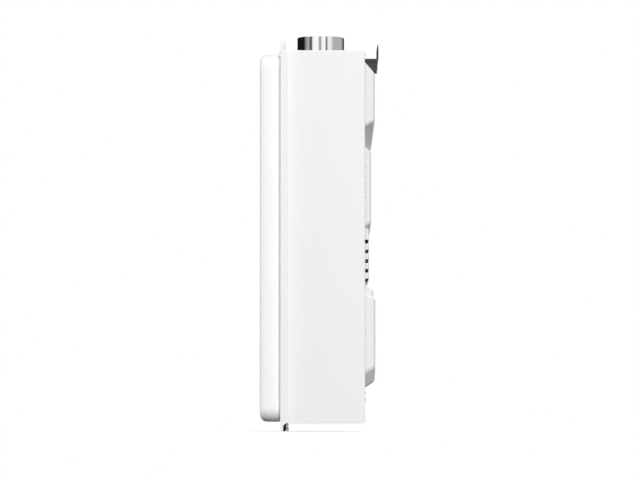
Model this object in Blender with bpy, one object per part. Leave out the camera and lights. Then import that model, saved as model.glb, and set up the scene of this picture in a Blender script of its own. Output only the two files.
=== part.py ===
"""A wall-hung gas tankless water heater: sheet-steel case with a drawn front cover, and the works inside it.

Lengths are millimetres until finish() writes metres. X runs across the heater, Y from the room towards the
wall, and heights run up from the lower edge of the front flange. The wall is the plane Y = 0, and the origin
is the middle of the hanging bracket's wall face.
"""

import math

import bmesh
import bpy
from mathutils import Matrix, Vector

# Driving dimensions
HANG_HEIGHT = 620.0
FIT_GAP = 0.3

FLANGE_WIDTH = 350.0
FLANGE_HEIGHT = 625.0
FLANGE_FRONT = -159.1
FLANGE_SHEET = 1.6
SIDE_LIP_REAR = -147.9
TOP_LIP_REAR = -152.2
BOTTOM_LIP_REAR = -154.8

COVER_WIDTH = 318.0
COVER_BASE = 15.7
COVER_TOP = 606.2
COVER_FRONT = -192.2
COVER_REAR = -159.4
COVER_SHEET = 1.8
COVER_CORNER = 22.0
COVER_NOSE = 11.0
COVER_ROLL_DEPTH = 6.0
COVER_ROLL_INSET = 3.0

CASE_WIDTH = 322.0
CASE_BASE = 13.3
CASE_TOP = 612.1
CASE_REAR = -23.4
CASE_SHEET = 1.2

PANEL_OUTER = CASE_REAR - CASE_SHEET - FIT_GAP
PANEL_INNER = PANEL_OUTER - CASE_SHEET
DRAIN_Y = -150.2

COLLAR_Y = -94.4
COLLAR_RADIUS = 38.5
COLLAR_TOP = 648.0

CORE_Y = -92.0
CORE_WIDTH = 200.0
CORE_DEPTH = 84.0
CORE_SHEET = 1.5
TRAY_BASE = 186.0
CHAMBER_BASE = 248.0
EXCHANGER_BASE = 400.0
HOOD_BASE = 462.3
HOOD_TOP = 592.0

PIPE_RADIUS = 6.0
COIL_BASE = 278.0
COIL_PITCH = 36.0
COIL_TURNS = 3
PASS_COUNT = 5
PASS_PITCH = 16.0
PASS_HEIGHT = 431.0
FIN_COUNT = 16

FAN_X = -39.0
FAN_HEIGHT = 546.0
FAN_FRONT = -120.0
FAN_REAR = -70.0
IMPELLER_RADIUS = 42.0
BLADE_COUNT = 18

BAR_COUNT = 7
BAR_PITCH = 27.0
FITTING_Y = -87.0
FITTING_PITCH = 100.0
MANIFOLD_Y = -144.4
CONTROL_HEIGHT = 168.0
BUTTON_TRAVEL = 1.2


def clear_scene():
    for old in list(bpy.data.objects):
        bpy.data.objects.remove(old, do_unlink=True)


def paint(name, colour, roughness, metallic=0.0):
    """The piece's own material."""
    made = bpy.data.materials.new(name)
    made.use_nodes = True
    shader = made.node_tree.nodes["Principled BSDF"]
    shader.inputs["Base Color"].default_value = (*colour, 1.0)
    shader.inputs["Roughness"].default_value = roughness
    shader.inputs["Metallic"].default_value = metallic
    return made


WHITE_PAINT = ((0.86, 0.86, 0.86), 0.35, 0.0)
GALVANISED = ((0.62, 0.64, 0.66), 0.40, 1.0)
COPPER = ((0.78, 0.44, 0.28), 0.30, 1.0)
STAINLESS = ((0.66, 0.66, 0.67), 0.28, 1.0)
CHROME = ((0.85, 0.85, 0.87), 0.08, 1.0)
BRASS = ((0.76, 0.60, 0.30), 0.30, 1.0)
DIE_CAST = ((0.55, 0.56, 0.58), 0.45, 1.0)
BLACK_PLASTIC = ((0.03, 0.03, 0.035), 0.45, 0.0)
GREY_PLASTIC = ((0.35, 0.36, 0.38), 0.50, 0.0)
CERAMIC = ((0.90, 0.89, 0.85), 0.30, 0.0)
FOAM = ((0.12, 0.12, 0.13), 0.90, 0.0)
BOARD_GREEN = ((0.05, 0.25, 0.12), 0.45, 0.0)
SMOKED = ((0.02, 0.02, 0.025), 0.08, 0.0)


def finish(name, mesh, look, origin=(0.0, 0.0, 0.0)):
    """Writes a bmesh made in millimetres as an object in metres, with its origin where the piece turns or slides."""
    bmesh.ops.translate(mesh, verts=mesh.verts, vec=-Vector(origin))
    bmesh.ops.scale(mesh, verts=mesh.verts, vec=(0.001, 0.001, 0.001))
    bmesh.ops.recalc_face_normals(mesh, faces=mesh.faces)
    data = bpy.data.meshes.new(name)
    mesh.to_mesh(data)
    mesh.free()
    data.shade_smooth()
    data.set_sharp_from_angle(angle=math.radians(32))
    data.materials.append(paint(name, *look))
    made = bpy.data.objects.new(name, data)
    bpy.context.scene.collection.objects.link(made)
    made.parent = bpy.data.objects["datum"]
    made.location = Vector(origin) * 0.001
    return made


def tool(name, mesh):
    """A hidden cutter or joining shape."""
    made = finish(name, mesh, ((0.8, 0.2, 0.1), 0.5))
    made.hide_render = True
    made.display_type = "WIRE"
    return made


def boolean(target, operation, mesh):
    helper = tool(f"{target.name}.{operation.lower()}.{len(target.modifiers)}", mesh)
    step = target.modifiers.new(helper.name, "BOOLEAN")
    step.operation = operation
    step.solver = "EXACT"
    step.object = helper


def cut(target, mesh):
    boolean(target, "DIFFERENCE", mesh)


def fuse(target, mesh):
    boolean(target, "UNION", mesh)


def loft(rings, into=None, closed=False):
    """Skins a chain of rings with equal point counts. The chain is capped, or closed on itself."""
    mesh = into or bmesh.new()
    made = [[mesh.verts.new(point) for point in ring] for ring in rings]
    pairs = list(zip(made, made[1:] + made[:1] if closed else made[1:]))
    for lower, upper in pairs:
        for i in range(len(lower)):
            j = (i + 1) % len(lower)
            mesh.faces.new((lower[i], lower[j], upper[j], upper[i]))
    if not closed:
        mesh.faces.new(made[0])
        mesh.faces.new(made[-1])
    return mesh


def prism(outline, axis, low, high, into=None):
    """Extrudes an outline: (y, h) along X, (x, h) along Y or (x, y) along Z."""
    place = {
        "X": lambda u, v, w: (w, u, v),
        "Y": lambda u, v, w: (u, w, v),
        "Z": lambda u, v, w: (u, v, w),
    }[axis]
    return loft([[place(u, v, w) for u, v in outline] for w in (low, high)], into)


def box(x, y, h, into=None):
    """A block from three (low, high) pairs."""
    corners = [(x[0], y[0]), (x[1], y[0]), (x[1], y[1]), (x[0], y[1])]
    return prism(corners, "Z", h[0], h[1], into)


def turned(profile, sides, centre=(0.0, 0.0, 0.0), axis="Z", into=None):
    """Revolves (radius, length) points: a chain from radius 0 to radius 0 is solid, any other is a closed ring."""
    mesh = into or bmesh.new()
    solid = profile[0][0] == 0.0
    turn = {
        "X": lambda r, w, c, s: (w, r * c, r * s),
        "Y": lambda r, w, c, s: (r * c, w, r * s),
        "Z": lambda r, w, c, s: (r * c, r * s, w),
    }[axis]
    rows = []
    for radius, length in profile:
        count = 1 if radius == 0.0 else sides
        angles = [math.tau * (i + 0.5) / sides for i in range(count)]
        points = [Vector(turn(radius, length, math.cos(a), math.sin(a))) + Vector(centre) for a in angles]
        rows.append([mesh.verts.new(point) for point in points])
    for lower, upper in zip(rows, rows[1:] if solid else rows[1:] + rows[:1]):
        for i in range(sides):
            j = (i + 1) % sides
            quad = [lower[i % len(lower)], lower[j % len(lower)], upper[j % len(upper)], upper[i % len(upper)]]
            mesh.faces.new(list(dict.fromkeys(quad)))
    return mesh


def rod(radius, low, high, sides, centre, axis="Z", into=None):
    return turned([(0.0, low), (radius, low), (radius, high), (0.0, high)], sides, centre, axis, into)


def rounded_rect(width, height, radius, steps=5, centre=(0.0, 0.0)):
    """A rectangle's outline with arcs at its corners."""
    points = []
    for quarter, (sx, sy) in enumerate(((1, 1), (-1, 1), (-1, -1), (1, -1))):
        corner = (centre[0] + sx * (width / 2 - radius), centre[1] + sy * (height / 2 - radius))
        for i in range(steps + 1):
            angle = math.pi / 2 * (quarter + i / steps)
            points.append((corner[0] + radius * math.cos(angle), corner[1] + radius * math.sin(angle)))
    return points


def bend_path(corners, radius, steps=4):
    """A pipe's centreline: straight runs between corners, joined by arcs of one bending radius."""
    corners = [Vector(corner) for corner in corners]
    path = [corners[0]]
    for before, corner, after in zip(corners, corners[1:], corners[2:]):
        inward, outward = (corner - before).normalized(), (after - corner).normalized()
        turning = inward.angle(outward)
        if turning < 0.02:
            continue
        reach = radius * math.tan(turning / 2)
        centre = corner + (outward - inward).normalized() * (radius / math.cos(turning / 2))
        start = corner - inward * reach - centre
        spin_axis = inward.cross(outward)
        path += [centre + Matrix.Rotation(turning * i / steps, 3, spin_axis) @ start for i in range(steps + 1)]
    return path + [corners[-1]]


def tube(name, path, radius, look):
    """A bent round pipe or hose, as a curve with a round bevel and filled ends."""
    curve = bpy.data.curves.new(name, "CURVE")
    curve.dimensions = "3D"
    curve.bevel_depth = radius * 0.001
    curve.bevel_resolution = 2
    curve.use_fill_caps = True
    line = curve.splines.new("POLY")
    line.points.add(len(path) - 1)
    for point, place in zip(line.points, path):
        point.co = (*(Vector(place) * 0.001), 1.0)
    curve.materials.append(paint(name, *look))
    made = bpy.data.objects.new(name, curve)
    bpy.context.scene.collection.objects.link(made)
    made.parent = bpy.data.objects["datum"]
    return made


def front_cover():
    """A pan drawn from one sheet: round nose, straight sides, and an edge that rolls in before the flange."""
    height = COVER_TOP - COVER_BASE
    middle = (0.0, (COVER_TOP + COVER_BASE) / 2)

    def ring(inset, y):
        corner = max(COVER_CORNER - inset, 3.0)
        outline = rounded_rect(COVER_WIDTH - 2 * inset, height - 2 * inset, corner, 5, middle)
        return [(u, y, v) for u, v in outline]

    def skin(depth_in, steps):
        """Rings from the face to the returned edge, for the skin that lies depth_in below the outer one."""
        rings = []
        nose = COVER_NOSE - depth_in
        roll_inset, roll_depth = COVER_ROLL_INSET - depth_in, COVER_ROLL_DEPTH - depth_in
        for i in range(steps + 1):
            angle = math.pi / 2 * i / steps
            inset = depth_in + nose * (1 - math.sin(angle))
            rings.append(ring(inset, COVER_FRONT + depth_in + nose * (1 - math.cos(angle))))
        for i in range(steps):
            angle = math.pi / 2 * i / (steps - 1)
            inset = depth_in + roll_inset * (1 - math.cos(angle))
            rings.append(ring(inset, COVER_REAR - depth_in - roll_depth * (1 - math.sin(angle))))
        rings.append(ring(COVER_ROLL_INSET + 5.0, COVER_REAR - depth_in))
        return rings

    rings = skin(COVER_SHEET, 3) + skin(0.0, 4)[::-1]
    cover = finish("front_cover", loft(rings), WHITE_PAINT, origin=(0.0, COVER_REAR, middle[1]))
    opening = rounded_rect(104.0 + 2 * FIT_GAP, 44.0 + 2 * FIT_GAP, 8.0, 4, (0.0, CONTROL_HEIGHT))
    cut(cover, prism(opening, "Y", COVER_FRONT - 2.0, COVER_FRONT + 6.0))


def control_panel():
    """The flush bezel in the cover, its window and its three sprung buttons."""
    face = COVER_FRONT
    middle = (0.0, CONTROL_HEIGHT)
    origin = (0.0, face, CONTROL_HEIGHT)
    block = prism(rounded_rect(104.0, 44.0, 7.7, 4, middle), "Y", face, face + 12.0)
    bezel = finish("control_bezel", block, GREY_PLASTIC, origin)
    cut(bezel, prism(rounded_rect(46.0, 26.0, 3.0, 3, middle), "Y", face - 2.0, face + 3.0))
    pane = rounded_rect(46.0 - 2 * FIT_GAP, 26.0 - 2 * FIT_GAP, 2.7, 3, middle)
    finish("display_window", prism(pane, "Y", face + 0.2, face + 2.7), SMOKED, origin)
    keys = {
        "power_button": (-38.0, CONTROL_HEIGHT, rounded_rect(14.0, 14.0, 6.9, 5)),
        "temp_up_button": (38.0, CONTROL_HEIGHT + 8.5, rounded_rect(14.0, 12.0, 3.0, 3)),
        "temp_down_button": (38.0, CONTROL_HEIGHT - 8.5, rounded_rect(14.0, 12.0, 3.0, 3)),
    }
    for name, (x, h, outline) in keys.items():
        grown = 1.0 + 2 * FIT_GAP / 12.0
        well = [(x + u * grown, h + v * grown) for u, v in outline]
        cut(bezel, prism(well, "Y", face - 2.0, face + 3.3 + BUTTON_TRAVEL + FIT_GAP))
        rim = [(x + u, h + v) for u, v in outline]
        crown = [(x + u * 0.88, h + v * 0.88) for u, v in outline]
        rings = [[(u, face + 3.3, v) for u, v in rim], [(u, face + 0.8, v) for u, v in rim],
                 [(u, face + 0.1, v) for u, v in crown]]
        finish(name, loft(rings), BLACK_PLASTIC, origin=(x, face, h))


def cover_gasket():
    """The foam strip on the frame that the cover closes on."""
    low, high = COVER_BASE + 15.0, COVER_TOP - 15.0
    centre = (0.0, (low + high) / 2)
    outer = rounded_rect(288.0, high - low, 6.0, 2, centre)
    inner = rounded_rect(278.0, high - low - 10.0, 3.0, 2, centre)
    front, rear = COVER_REAR - 3.4, COVER_REAR
    rings = [[(u, y, v) for u, v in outline]
             for outline, y in ((outer, rear), (outer, front), (inner, front), (inner, rear))]
    finish("cover_gasket", loft(rings, closed=True), FOAM)


def front_frame():
    """The flange: a plate with a large opening, lips folded back at its edges and mitred where they end."""
    half = FLANGE_WIDTH / 2
    plate_rear = FLANGE_FRONT + FLANGE_SHEET
    frame = finish("front_frame", box((-half, half), (FLANGE_FRONT, plate_rear), (0.0, FLANGE_HEIGHT)), WHITE_PAINT)
    side_lip = [
        (FLANGE_FRONT + 0.4, 0.0), (BOTTOM_LIP_REAR, 0.0), (BOTTOM_LIP_REAR, 9.5), (SIDE_LIP_REAR, CASE_BASE + 1.0),
        (SIDE_LIP_REAR, 605.0), (TOP_LIP_REAR, 613.0), (TOP_LIP_REAR, FLANGE_HEIGHT),
        (FLANGE_FRONT + 0.4, FLANGE_HEIGHT),
    ]
    lips = bmesh.new()
    for side in (-1, 1):
        prism(side_lip, "X", *sorted((side * half, side * (half - FLANGE_SHEET))), into=lips)
    fuse(frame, lips)
    edge = half - 0.2
    fuse(frame, box((-edge, edge), (FLANGE_FRONT + 0.4, TOP_LIP_REAR), (FLANGE_HEIGHT - FLANGE_SHEET, FLANGE_HEIGHT)))
    fuse(frame, box((-edge, edge), (FLANGE_FRONT + 0.4, BOTTOM_LIP_REAR), (0.0, FLANGE_SHEET)))
    centre = (0.0, 312.0)
    outer = rounded_rect(272.0 + 2 * FLANGE_SHEET, 548.0 + 2 * FLANGE_SHEET, 8.0, 3, centre)
    fuse(frame, prism(outer, "Y", FLANGE_FRONT + 0.4, FLANGE_FRONT + 9.0))
    cut(frame, prism(rounded_rect(272.0, 548.0, 6.4, 3, centre), "Y", FLANGE_FRONT - 4.0, FLANGE_FRONT + 14.0))


def case_shell():
    """Left side, top and right side bent from one sheet, with a return flange round the rear opening."""
    half = CASE_WIDTH / 2
    front = FLANGE_FRONT + FLANGE_SHEET + FIT_GAP

    def arch(inset, base, top_radius, steps=3):
        edge, top = half - inset, CASE_TOP - inset
        points = [(-edge, base), (edge, base)]
        for side, start in ((1, 0.0), (-1, 90.0)):
            corner = (side * (edge - top_radius), top - top_radius)
            for i in range(steps + 1):
                angle = math.radians(start + 90.0 * i / steps)
                points.append((corner[0] + top_radius * math.cos(angle), corner[1] + top_radius * math.sin(angle)))
        return points

    shell = finish("case_shell", prism(arch(0.0, CASE_BASE, 2.4), "Y", front, CASE_REAR), WHITE_PAINT)
    cut(shell, prism(arch(CASE_SHEET, CASE_BASE - 5.0, 1.2), "Y", front - 5.0, CASE_REAR - CASE_SHEET))
    cut(shell, prism(arch(11.0, CASE_BASE - 5.0, 4.0), "Y", CASE_REAR - 10.0, CASE_REAR + 5.0))
    cut(shell, rod(35.0, CASE_TOP - 8.0, CASE_TOP + 8.0, 32, (0.0, COLLAR_Y, 0.0)))


def bottom_panel():
    """A tray between the sides, with openings for the three pipe fittings and the drain."""
    half = CASE_WIDTH / 2 - CASE_SHEET - FIT_GAP
    front = FLANGE_FRONT + FLANGE_SHEET + FIT_GAP
    inner, floor = half - CASE_SHEET, CASE_BASE + CASE_SHEET
    tray = [(-half, 28.0), (-half, CASE_BASE + 1.5), (1.5 - half, CASE_BASE), (half - 1.5, CASE_BASE),
            (half, CASE_BASE + 1.5), (half, 28.0), (inner, 28.0), (inner, floor), (-inner, floor), (-inner, 28.0)]
    panel = finish("bottom_panel", prism(tray, "Y", front, PANEL_INNER - FIT_GAP), WHITE_PAINT)
    holes = bmesh.new()
    for x in (-FITTING_PITCH, 0.0, FITTING_PITCH):
        rod(16.5, CASE_BASE - 5.0, CASE_BASE + 8.0, 20, (x, FITTING_Y, 0.0), into=holes)
    rod(5.6, CASE_BASE - 5.0, CASE_BASE + 8.0, 12, (FITTING_PITCH, DRAIN_Y, 0.0), into=holes)
    cut(panel, holes)


def boss(base, rear, base_y, side_y, foot_y, shrink, segments):
    """One pressed boss. Its base and rear outlines are (half width, height) at the top, the side and the foot."""
    mesh = bmesh.new()
    rings = []
    for (top, side, foot), upper_y, lower_y in ((base, base_y, base_y), (rear, side_y, foot_y)):
        right = [
            mesh.verts.new((top[0] - shrink, upper_y - shrink, top[1] - shrink)),
            mesh.verts.new((side[0] - shrink, upper_y - shrink, side[1] + shrink * 0.4)),
            mesh.verts.new((foot[0] - shrink * 0.6, lower_y - shrink, foot[1] + shrink)),
        ]
        left = [mesh.verts.new((-vert.co.x, vert.co.y, vert.co.z)) for vert in reversed(right)]
        rings.append(right + left)
    for i in range(6):
        j = (i + 1) % 6
        mesh.faces.new((rings[0][i], rings[0][j], rings[1][j], rings[1][i]))
    mesh.faces.new(rings[0])
    a, b, c, d, e, f = rings[1]
    mesh.faces.new((a, b, e, f))
    mesh.faces.new((b, c, d, e))
    bmesh.ops.recalc_face_normals(mesh, faces=mesh.faces)
    edges = [edge for edge in mesh.edges if set(rings[1]) & set(edge.verts)]
    bmesh.ops.bevel(mesh, geom=edges, offset=4.0 - shrink, segments=segments, affect="EDGES", profile=0.5,
                    clamp_overlap=True)
    return mesh


def back_panel():
    """The rear sheet with its pressed bosses: upper, middle, vent and a stepped lower one, all hollow inside."""
    upper = ((118.0, 599.6), (118.0, 493.0), (56.0, 460.0)), ((108.0, 580.5), (108.0, 503.0), (53.0, 466.0))
    middle = ((114.0, 461.0), (114.0, 330.0), (72.0, 313.0)), ((107.0, 453.0), (107.0, 337.0), (69.0, 318.0))
    vent = ((111.0, 330.0), (111.0, 243.0), (107.0, 238.5)), ((106.0, 326.0), (106.0, 246.0), (103.0, 242.5))
    lower = ((117.0, 236.0), (117.0, 120.0), (100.0, 100.0)), ((109.0, 228.0), (109.0, 124.0), (96.0, 108.0))
    step = ((122.0, 221.0), (122.0, 94.0), (98.0, 70.0)), ((113.0, 215.0), (113.0, 104.0), (92.0, 81.0))
    bosses = (
        (*upper, -6.9, -11.4),
        (*middle, -12.9, -15.4),
        (*vent, -16.5, -16.9),
        (*lower, -9.5, -9.5),
        (*step, -6.3, -7.0),
    )
    panel = finish("back_panel", box((-158.8, 158.8), (PANEL_INNER, PANEL_OUTER), (15.0, 610.2)), WHITE_PAINT)
    for base, rear, side_y, foot_y in bosses:
        fuse(panel, boss(base, rear, PANEL_OUTER - 0.4, side_y, foot_y, 0.0, 2))
    for base, rear, side_y, foot_y in bosses:
        cut(panel, boss(base, rear, PANEL_INNER + 0.2, side_y, foot_y, CASE_SHEET, 1))
    slots = bmesh.new()
    for side in (-1, 1):
        for i in range(5):
            height = 306.5 - 15.7 * i
            x = sorted((side * 84.0, side * 118.0))
            box(x, (PANEL_OUTER + 0.8, -8.0), (height - 3.0, height + 3.0), into=slots)
    cut(panel, slots)


def flue_collar():
    """A round spigot standing on its turned-out flange."""
    inner = COLLAR_RADIUS - 1.2
    base = CASE_TOP + FIT_GAP
    profile = [
        (inner, base), (47.0, base), (47.0, base + 1.4), (COLLAR_RADIUS + 1.5, base + 1.4),
        (COLLAR_RADIUS, base + 3.0), (COLLAR_RADIUS, COLLAR_TOP - 0.6), (COLLAR_RADIUS - 0.5, COLLAR_TOP),
        (inner, COLLAR_TOP),
    ]
    finish("flue_collar", turned(profile, 36, (0.0, COLLAR_Y, 0.0)), CHROME)


def hanging_bracket():
    """Plate, shelf and keyholed ear folded from one strip, stiffened by two slotted gussets under the shelf."""
    plate_front, sheet, shelf = CASE_REAR + FIT_GAP, 1.6, 606.7
    strip = [(plate_front, 598.4), (plate_front + sheet, 598.4), (plate_front + sheet, shelf), (0.0, shelf),
             (0.0, 632.0), (-sheet, 632.0), (-sheet, shelf + sheet), (plate_front, shelf + sheet)]
    bracket = finish("hanging_bracket", prism(strip, "X", -60.0, 60.0), STAINLESS)
    gusset = [(plate_front + 0.6, shelf + 0.6), (-1.2, shelf + 0.6), (-1.7, 592.3), (-6.7, 592.3), (-19.0, 599.6),
              (plate_front + 0.6, 599.6)]
    webs, slots, holes, necks, trims = (bmesh.new() for _ in range(5))
    for side in (-1, 1):
        prism(gusset, "X", *sorted((side * 29.0, side * 27.4)), into=webs)
        box(sorted((side * 40.0, side * 20.0)), (-6.2, -2.6), (597.9, 599.8), into=slots)
        rod(5.0, -6.0, 4.0, 12, (side * 42.0, 0.0, 615.0), "Y", into=holes)
        box(sorted((side * 44.6, side * 39.4)), (-6.0, 4.0), (616.0, 625.5), into=necks)
        prism([(side * 61.0, 624.0), (side * 61.0, 633.0), (side * 50.0, 633.0)], "Y", -6.0, 4.0, into=trims)
    fuse(bracket, webs)
    for shape in (slots, holes, necks, trims):
        cut(bracket, shape)


def burner_tray():
    """The open box that holds the burner bars, hung on a rail that crosses the case."""
    front, rear = CORE_Y - CORE_DEPTH / 2, CORE_Y + CORE_DEPTH / 2
    half = CORE_WIDTH / 2
    top = CHAMBER_BASE - FIT_GAP
    tray = finish("burner_tray", box((-half, half), (front, rear), (TRAY_BASE, top)), GALVANISED)
    inner = (half - CORE_SHEET, (front + CORE_SHEET, rear - CORE_SHEET))
    cut(tray, box((-inner[0], inner[0]), inner[1], (TRAY_BASE + CORE_SHEET, top + 5.0)))
    cut(tray, box((-half + 20.0, half - 20.0), (CORE_Y + 6.0, CORE_Y + 30.0), (TRAY_BASE - 5.0, TRAY_BASE + 5.0)))
    ports = bmesh.new()
    for k in range(BAR_COUNT):
        rod(5.0, front - 3.0, front + 4.0, 8, (bar_x(k), 0.0, 200.0), "Y", into=ports)
    cut(tray, ports)
    rail_end = CASE_WIDTH / 2 - CASE_SHEET - FIT_GAP
    fuse(tray, box((-rail_end, rail_end), (rear - 0.5, rear + 1.5), (TRAY_BASE + 2.0, TRAY_BASE + 20.0)))
    feet = bmesh.new()
    for side in (-1, 1):
        box(sorted((side * rail_end, side * (rail_end - 1.5))), (rear - 0.5, rear + 16.0),
            (TRAY_BASE + 2.0, TRAY_BASE + 20.0), into=feet)
    fuse(tray, feet)


def bar_x(k):
    return (k - (BAR_COUNT - 1) / 2) * BAR_PITCH


def burner_bars():
    """Slotted stainless bars: a throat that takes the gas jet, a thin neck and a slotted head."""
    front, rear = CORE_Y - 38.0, CORE_Y + 38.0
    head_base, head_top, slot_depth = 231.0, 245.0, 6.0
    slot_count, slot_width = 6, 3.0
    pitch = (rear - front) / slot_count
    comb = [(front, head_base), (rear, head_base), (rear, head_top)]
    for i in reversed(range(slot_count)):
        middle, base = front + pitch * (i + 0.5), head_top - slot_depth
        comb += [(middle + slot_width / 2, head_top), (middle + slot_width / 2, base),
                 (middle - slot_width / 2, base), (middle - slot_width / 2, head_top)]
    comb.append((front, head_top))
    for k in range(BAR_COUNT):
        x = bar_x(k)
        bar = finish(f"burner_bar_{k + 1}", prism(comb, "X", x - 7.5, x + 7.5), STAINLESS)
        neck = [(x - 6.5, 193.0), (x - 6.5, 207.0), (x - 2.5, 216.0), (x - 2.5, 226.0), (x - 6.5, 232.0),
                (x + 6.5, 232.0), (x + 2.5, 226.0), (x + 2.5, 216.0), (x + 6.5, 207.0), (x + 6.5, 193.0)]
        fuse(bar, prism(neck, "Y", front + 4.0, rear - 4.0))
        cut(bar, rod(4.6, front - 2.0, front + 30.0, 8, (x, 0.0, 200.0), "Y"))


def combustion_chamber():
    """The sheet duct over the burners, with two holes for the electrodes."""
    front, rear = CORE_Y - CORE_DEPTH / 2, CORE_Y + CORE_DEPTH / 2
    chamber = finish("combustion_chamber", duct(CHAMBER_BASE, EXCHANGER_BASE - FIT_GAP), COPPER)
    holes = bmesh.new()
    for x in (-18.0, 18.0):
        rod(4.2, front - 4.0, front + 5.0, 10, (x, 0.0, 258.0), "Y", into=holes)
    cut(chamber, holes)


def duct(low, high):
    """A rectangular sheet duct round the core, open at both ends."""
    centre = (0.0, CORE_Y)
    outer = rounded_rect(CORE_WIDTH, CORE_DEPTH, 5.0, 2, centre)
    inner = rounded_rect(CORE_WIDTH - 2 * CORE_SHEET, CORE_DEPTH - 2 * CORE_SHEET, 3.5, 2, centre)
    levels = ((outer, low), (outer, high), (inner, high), (inner, low))
    return loft([[(u, v, h) for u, v in outline] for outline, h in levels], closed=True)


def pass_y(j):
    return CORE_Y + (j - (PASS_COUNT - 1) / 2) * PASS_PITCH


def heat_exchanger():
    """The fin pack with its tube passes, the shell round it and the bends that join the passes."""
    half = CORE_WIDTH / 2
    pack_half, low, high = half - 3.0, EXCHANGER_BASE + 3.0, HOOD_BASE - 3.0
    pitch = 2 * pack_half / FIN_COUNT
    fin, depth = pitch * 0.42, 17.0
    lower, upper = [], []
    for i in range(FIN_COUNT):
        x = -pack_half + pitch * (i + 0.5)
        lower += [(x - fin / 2, low + depth), (x - fin / 2, low), (x + fin / 2, low), (x + fin / 2, low + depth)]
        upper += [(x - fin / 2, high - depth), (x - fin / 2, high), (x + fin / 2, high), (x + fin / 2, high - depth)]
    front, rear = CORE_Y - CORE_DEPTH / 2 + CORE_SHEET + FIT_GAP, CORE_Y + CORE_DEPTH / 2 - CORE_SHEET - FIT_GAP
    fins = finish("exchanger_fins", prism(lower + upper[::-1], "Y", front, rear), COPPER)
    stubs, holes = bmesh.new(), bmesh.new()
    for j in range(PASS_COUNT):
        rod(PIPE_RADIUS - 0.5, -half - 7.5, half + 7.5, 8, (0.0, pass_y(j), PASS_HEIGHT), "X", into=stubs)
        rod(PIPE_RADIUS + 0.5, -half - 9.0, half + 9.0, 8, (0.0, pass_y(j), PASS_HEIGHT), "X", into=holes)
    fuse(fins, stubs)
    shell = finish("exchanger_shell", duct(EXCHANGER_BASE, HOOD_BASE - FIT_GAP), COPPER)
    cut(shell, holes)
    for j in range(PASS_COUNT - 1):
        side = -1 if j % 2 == 0 else 1
        near, far = side * (half + 7.5 + FIT_GAP), side * (half + 18.0)
        corners = [(near, pass_y(j), PASS_HEIGHT), (far, pass_y(j), PASS_HEIGHT),
                   (far, pass_y(j + 1), PASS_HEIGHT), (near, pass_y(j + 1), PASS_HEIGHT)]
        tube(f"return_bend_{j + 1}", bend_path(corners, PASS_PITCH / 2 - 0.05, 3), PIPE_RADIUS - 0.5, COPPER)


def water_coil():
    """One copper pipe: up from the flow sensor, three turns round the chamber, then into the first pass."""
    half_x = CORE_WIDTH / 2 + PIPE_RADIUS + 1.0
    half_y = CORE_DEPTH / 2 + PIPE_RADIUS + 1.0
    riser_x = CORE_WIDTH / 2 + PIPE_RADIUS + 10.0
    corners = [(FITTING_PITCH, FITTING_Y, 96.6), (FITTING_PITCH, FITTING_Y, 130.0),
               (riser_x, FITTING_Y, 165.0), (riser_x, FITTING_Y, COIL_BASE - 12.0),
               (half_x, CORE_Y - half_y, COIL_BASE)]
    ring = [(-half_x, CORE_Y - half_y), (-half_x, CORE_Y + half_y),
            (half_x, CORE_Y + half_y), (half_x, CORE_Y - half_y)]
    for turn in range(COIL_TURNS):
        for i, (x, y) in enumerate(ring):
            corners.append((x, y, COIL_BASE + COIL_PITCH * (turn + (i + 1) / 4)))
    end_x = CORE_WIDTH / 2 + 22.0
    top = corners[-1][2] - COIL_PITCH / 4
    corners[-2] = (end_x, CORE_Y + half_y, top)
    corners[-1] = (end_x, pass_y(0), top + 6.0)
    corners += [(end_x, pass_y(0), PASS_HEIGHT), (CORE_WIDTH / 2 + 7.5 + FIT_GAP, pass_y(0), PASS_HEIGHT)]
    tube("water_coil", bend_path(corners, 11.0, 3), PIPE_RADIUS, COPPER)


def flue_hood():
    """The hood over the exchanger, drawn together into a riser behind the fan, with the fan's eye in its front."""
    front, rear = CORE_Y - CORE_DEPTH / 2, CORE_Y + CORE_DEPTH / 2
    half = CORE_WIDTH / 2
    riser_front, riser_rear = FAN_REAR + FIT_GAP, -30.0

    def hood(shrink, base):
        stations = ((-half, half, front, rear, base), (-half, half, front, rear, HOOD_BASE + 6.0),
                    (FAN_X - 50.0, FAN_X + 50.0, riser_front, riser_rear, 484.0),
                    (FAN_X - 50.0, FAN_X + 50.0, riser_front, riser_rear, HOOD_TOP - shrink))
        rings = []
        for x0, x1, y0, y1, h in stations:
            x0, x1, y0, y1 = x0 + shrink, x1 - shrink, y0 + shrink, y1 - shrink
            rings.append([(x0, y0, h), (x1, y0, h), (x1, y1, h), (x0, y1, h)])
        return loft(rings)

    made = finish("flue_hood", hood(0.0, HOOD_BASE), STAINLESS)
    cut(made, hood(CORE_SHEET, HOOD_BASE - 5.0))
    cut(made, rod(31.0, riser_front - 5.0, riser_front + 8.0, 24, (FAN_X, 0.0, FAN_HEIGHT), "Y"))


def scroll_outline(shrink):
    """The fan's spiral wall, opening from the cut-off round to a straight outlet under the collar."""
    start, end, steps = math.radians(38), math.radians(360), 20
    points = []
    for i in range(steps + 1):
        angle = start + (end - start) * i / steps
        radius = 46.0 + 18.0 * i / steps - shrink
        points.append((FAN_X + radius * math.cos(angle), FAN_HEIGHT + radius * math.sin(angle)))
    outlet_top = 606.0 + (10.0 if shrink else 0.0)
    return points + [(24.0 - shrink, outlet_top), (-20.0 + shrink, outlet_top), (-17.0 + shrink, 598.0)]


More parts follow.
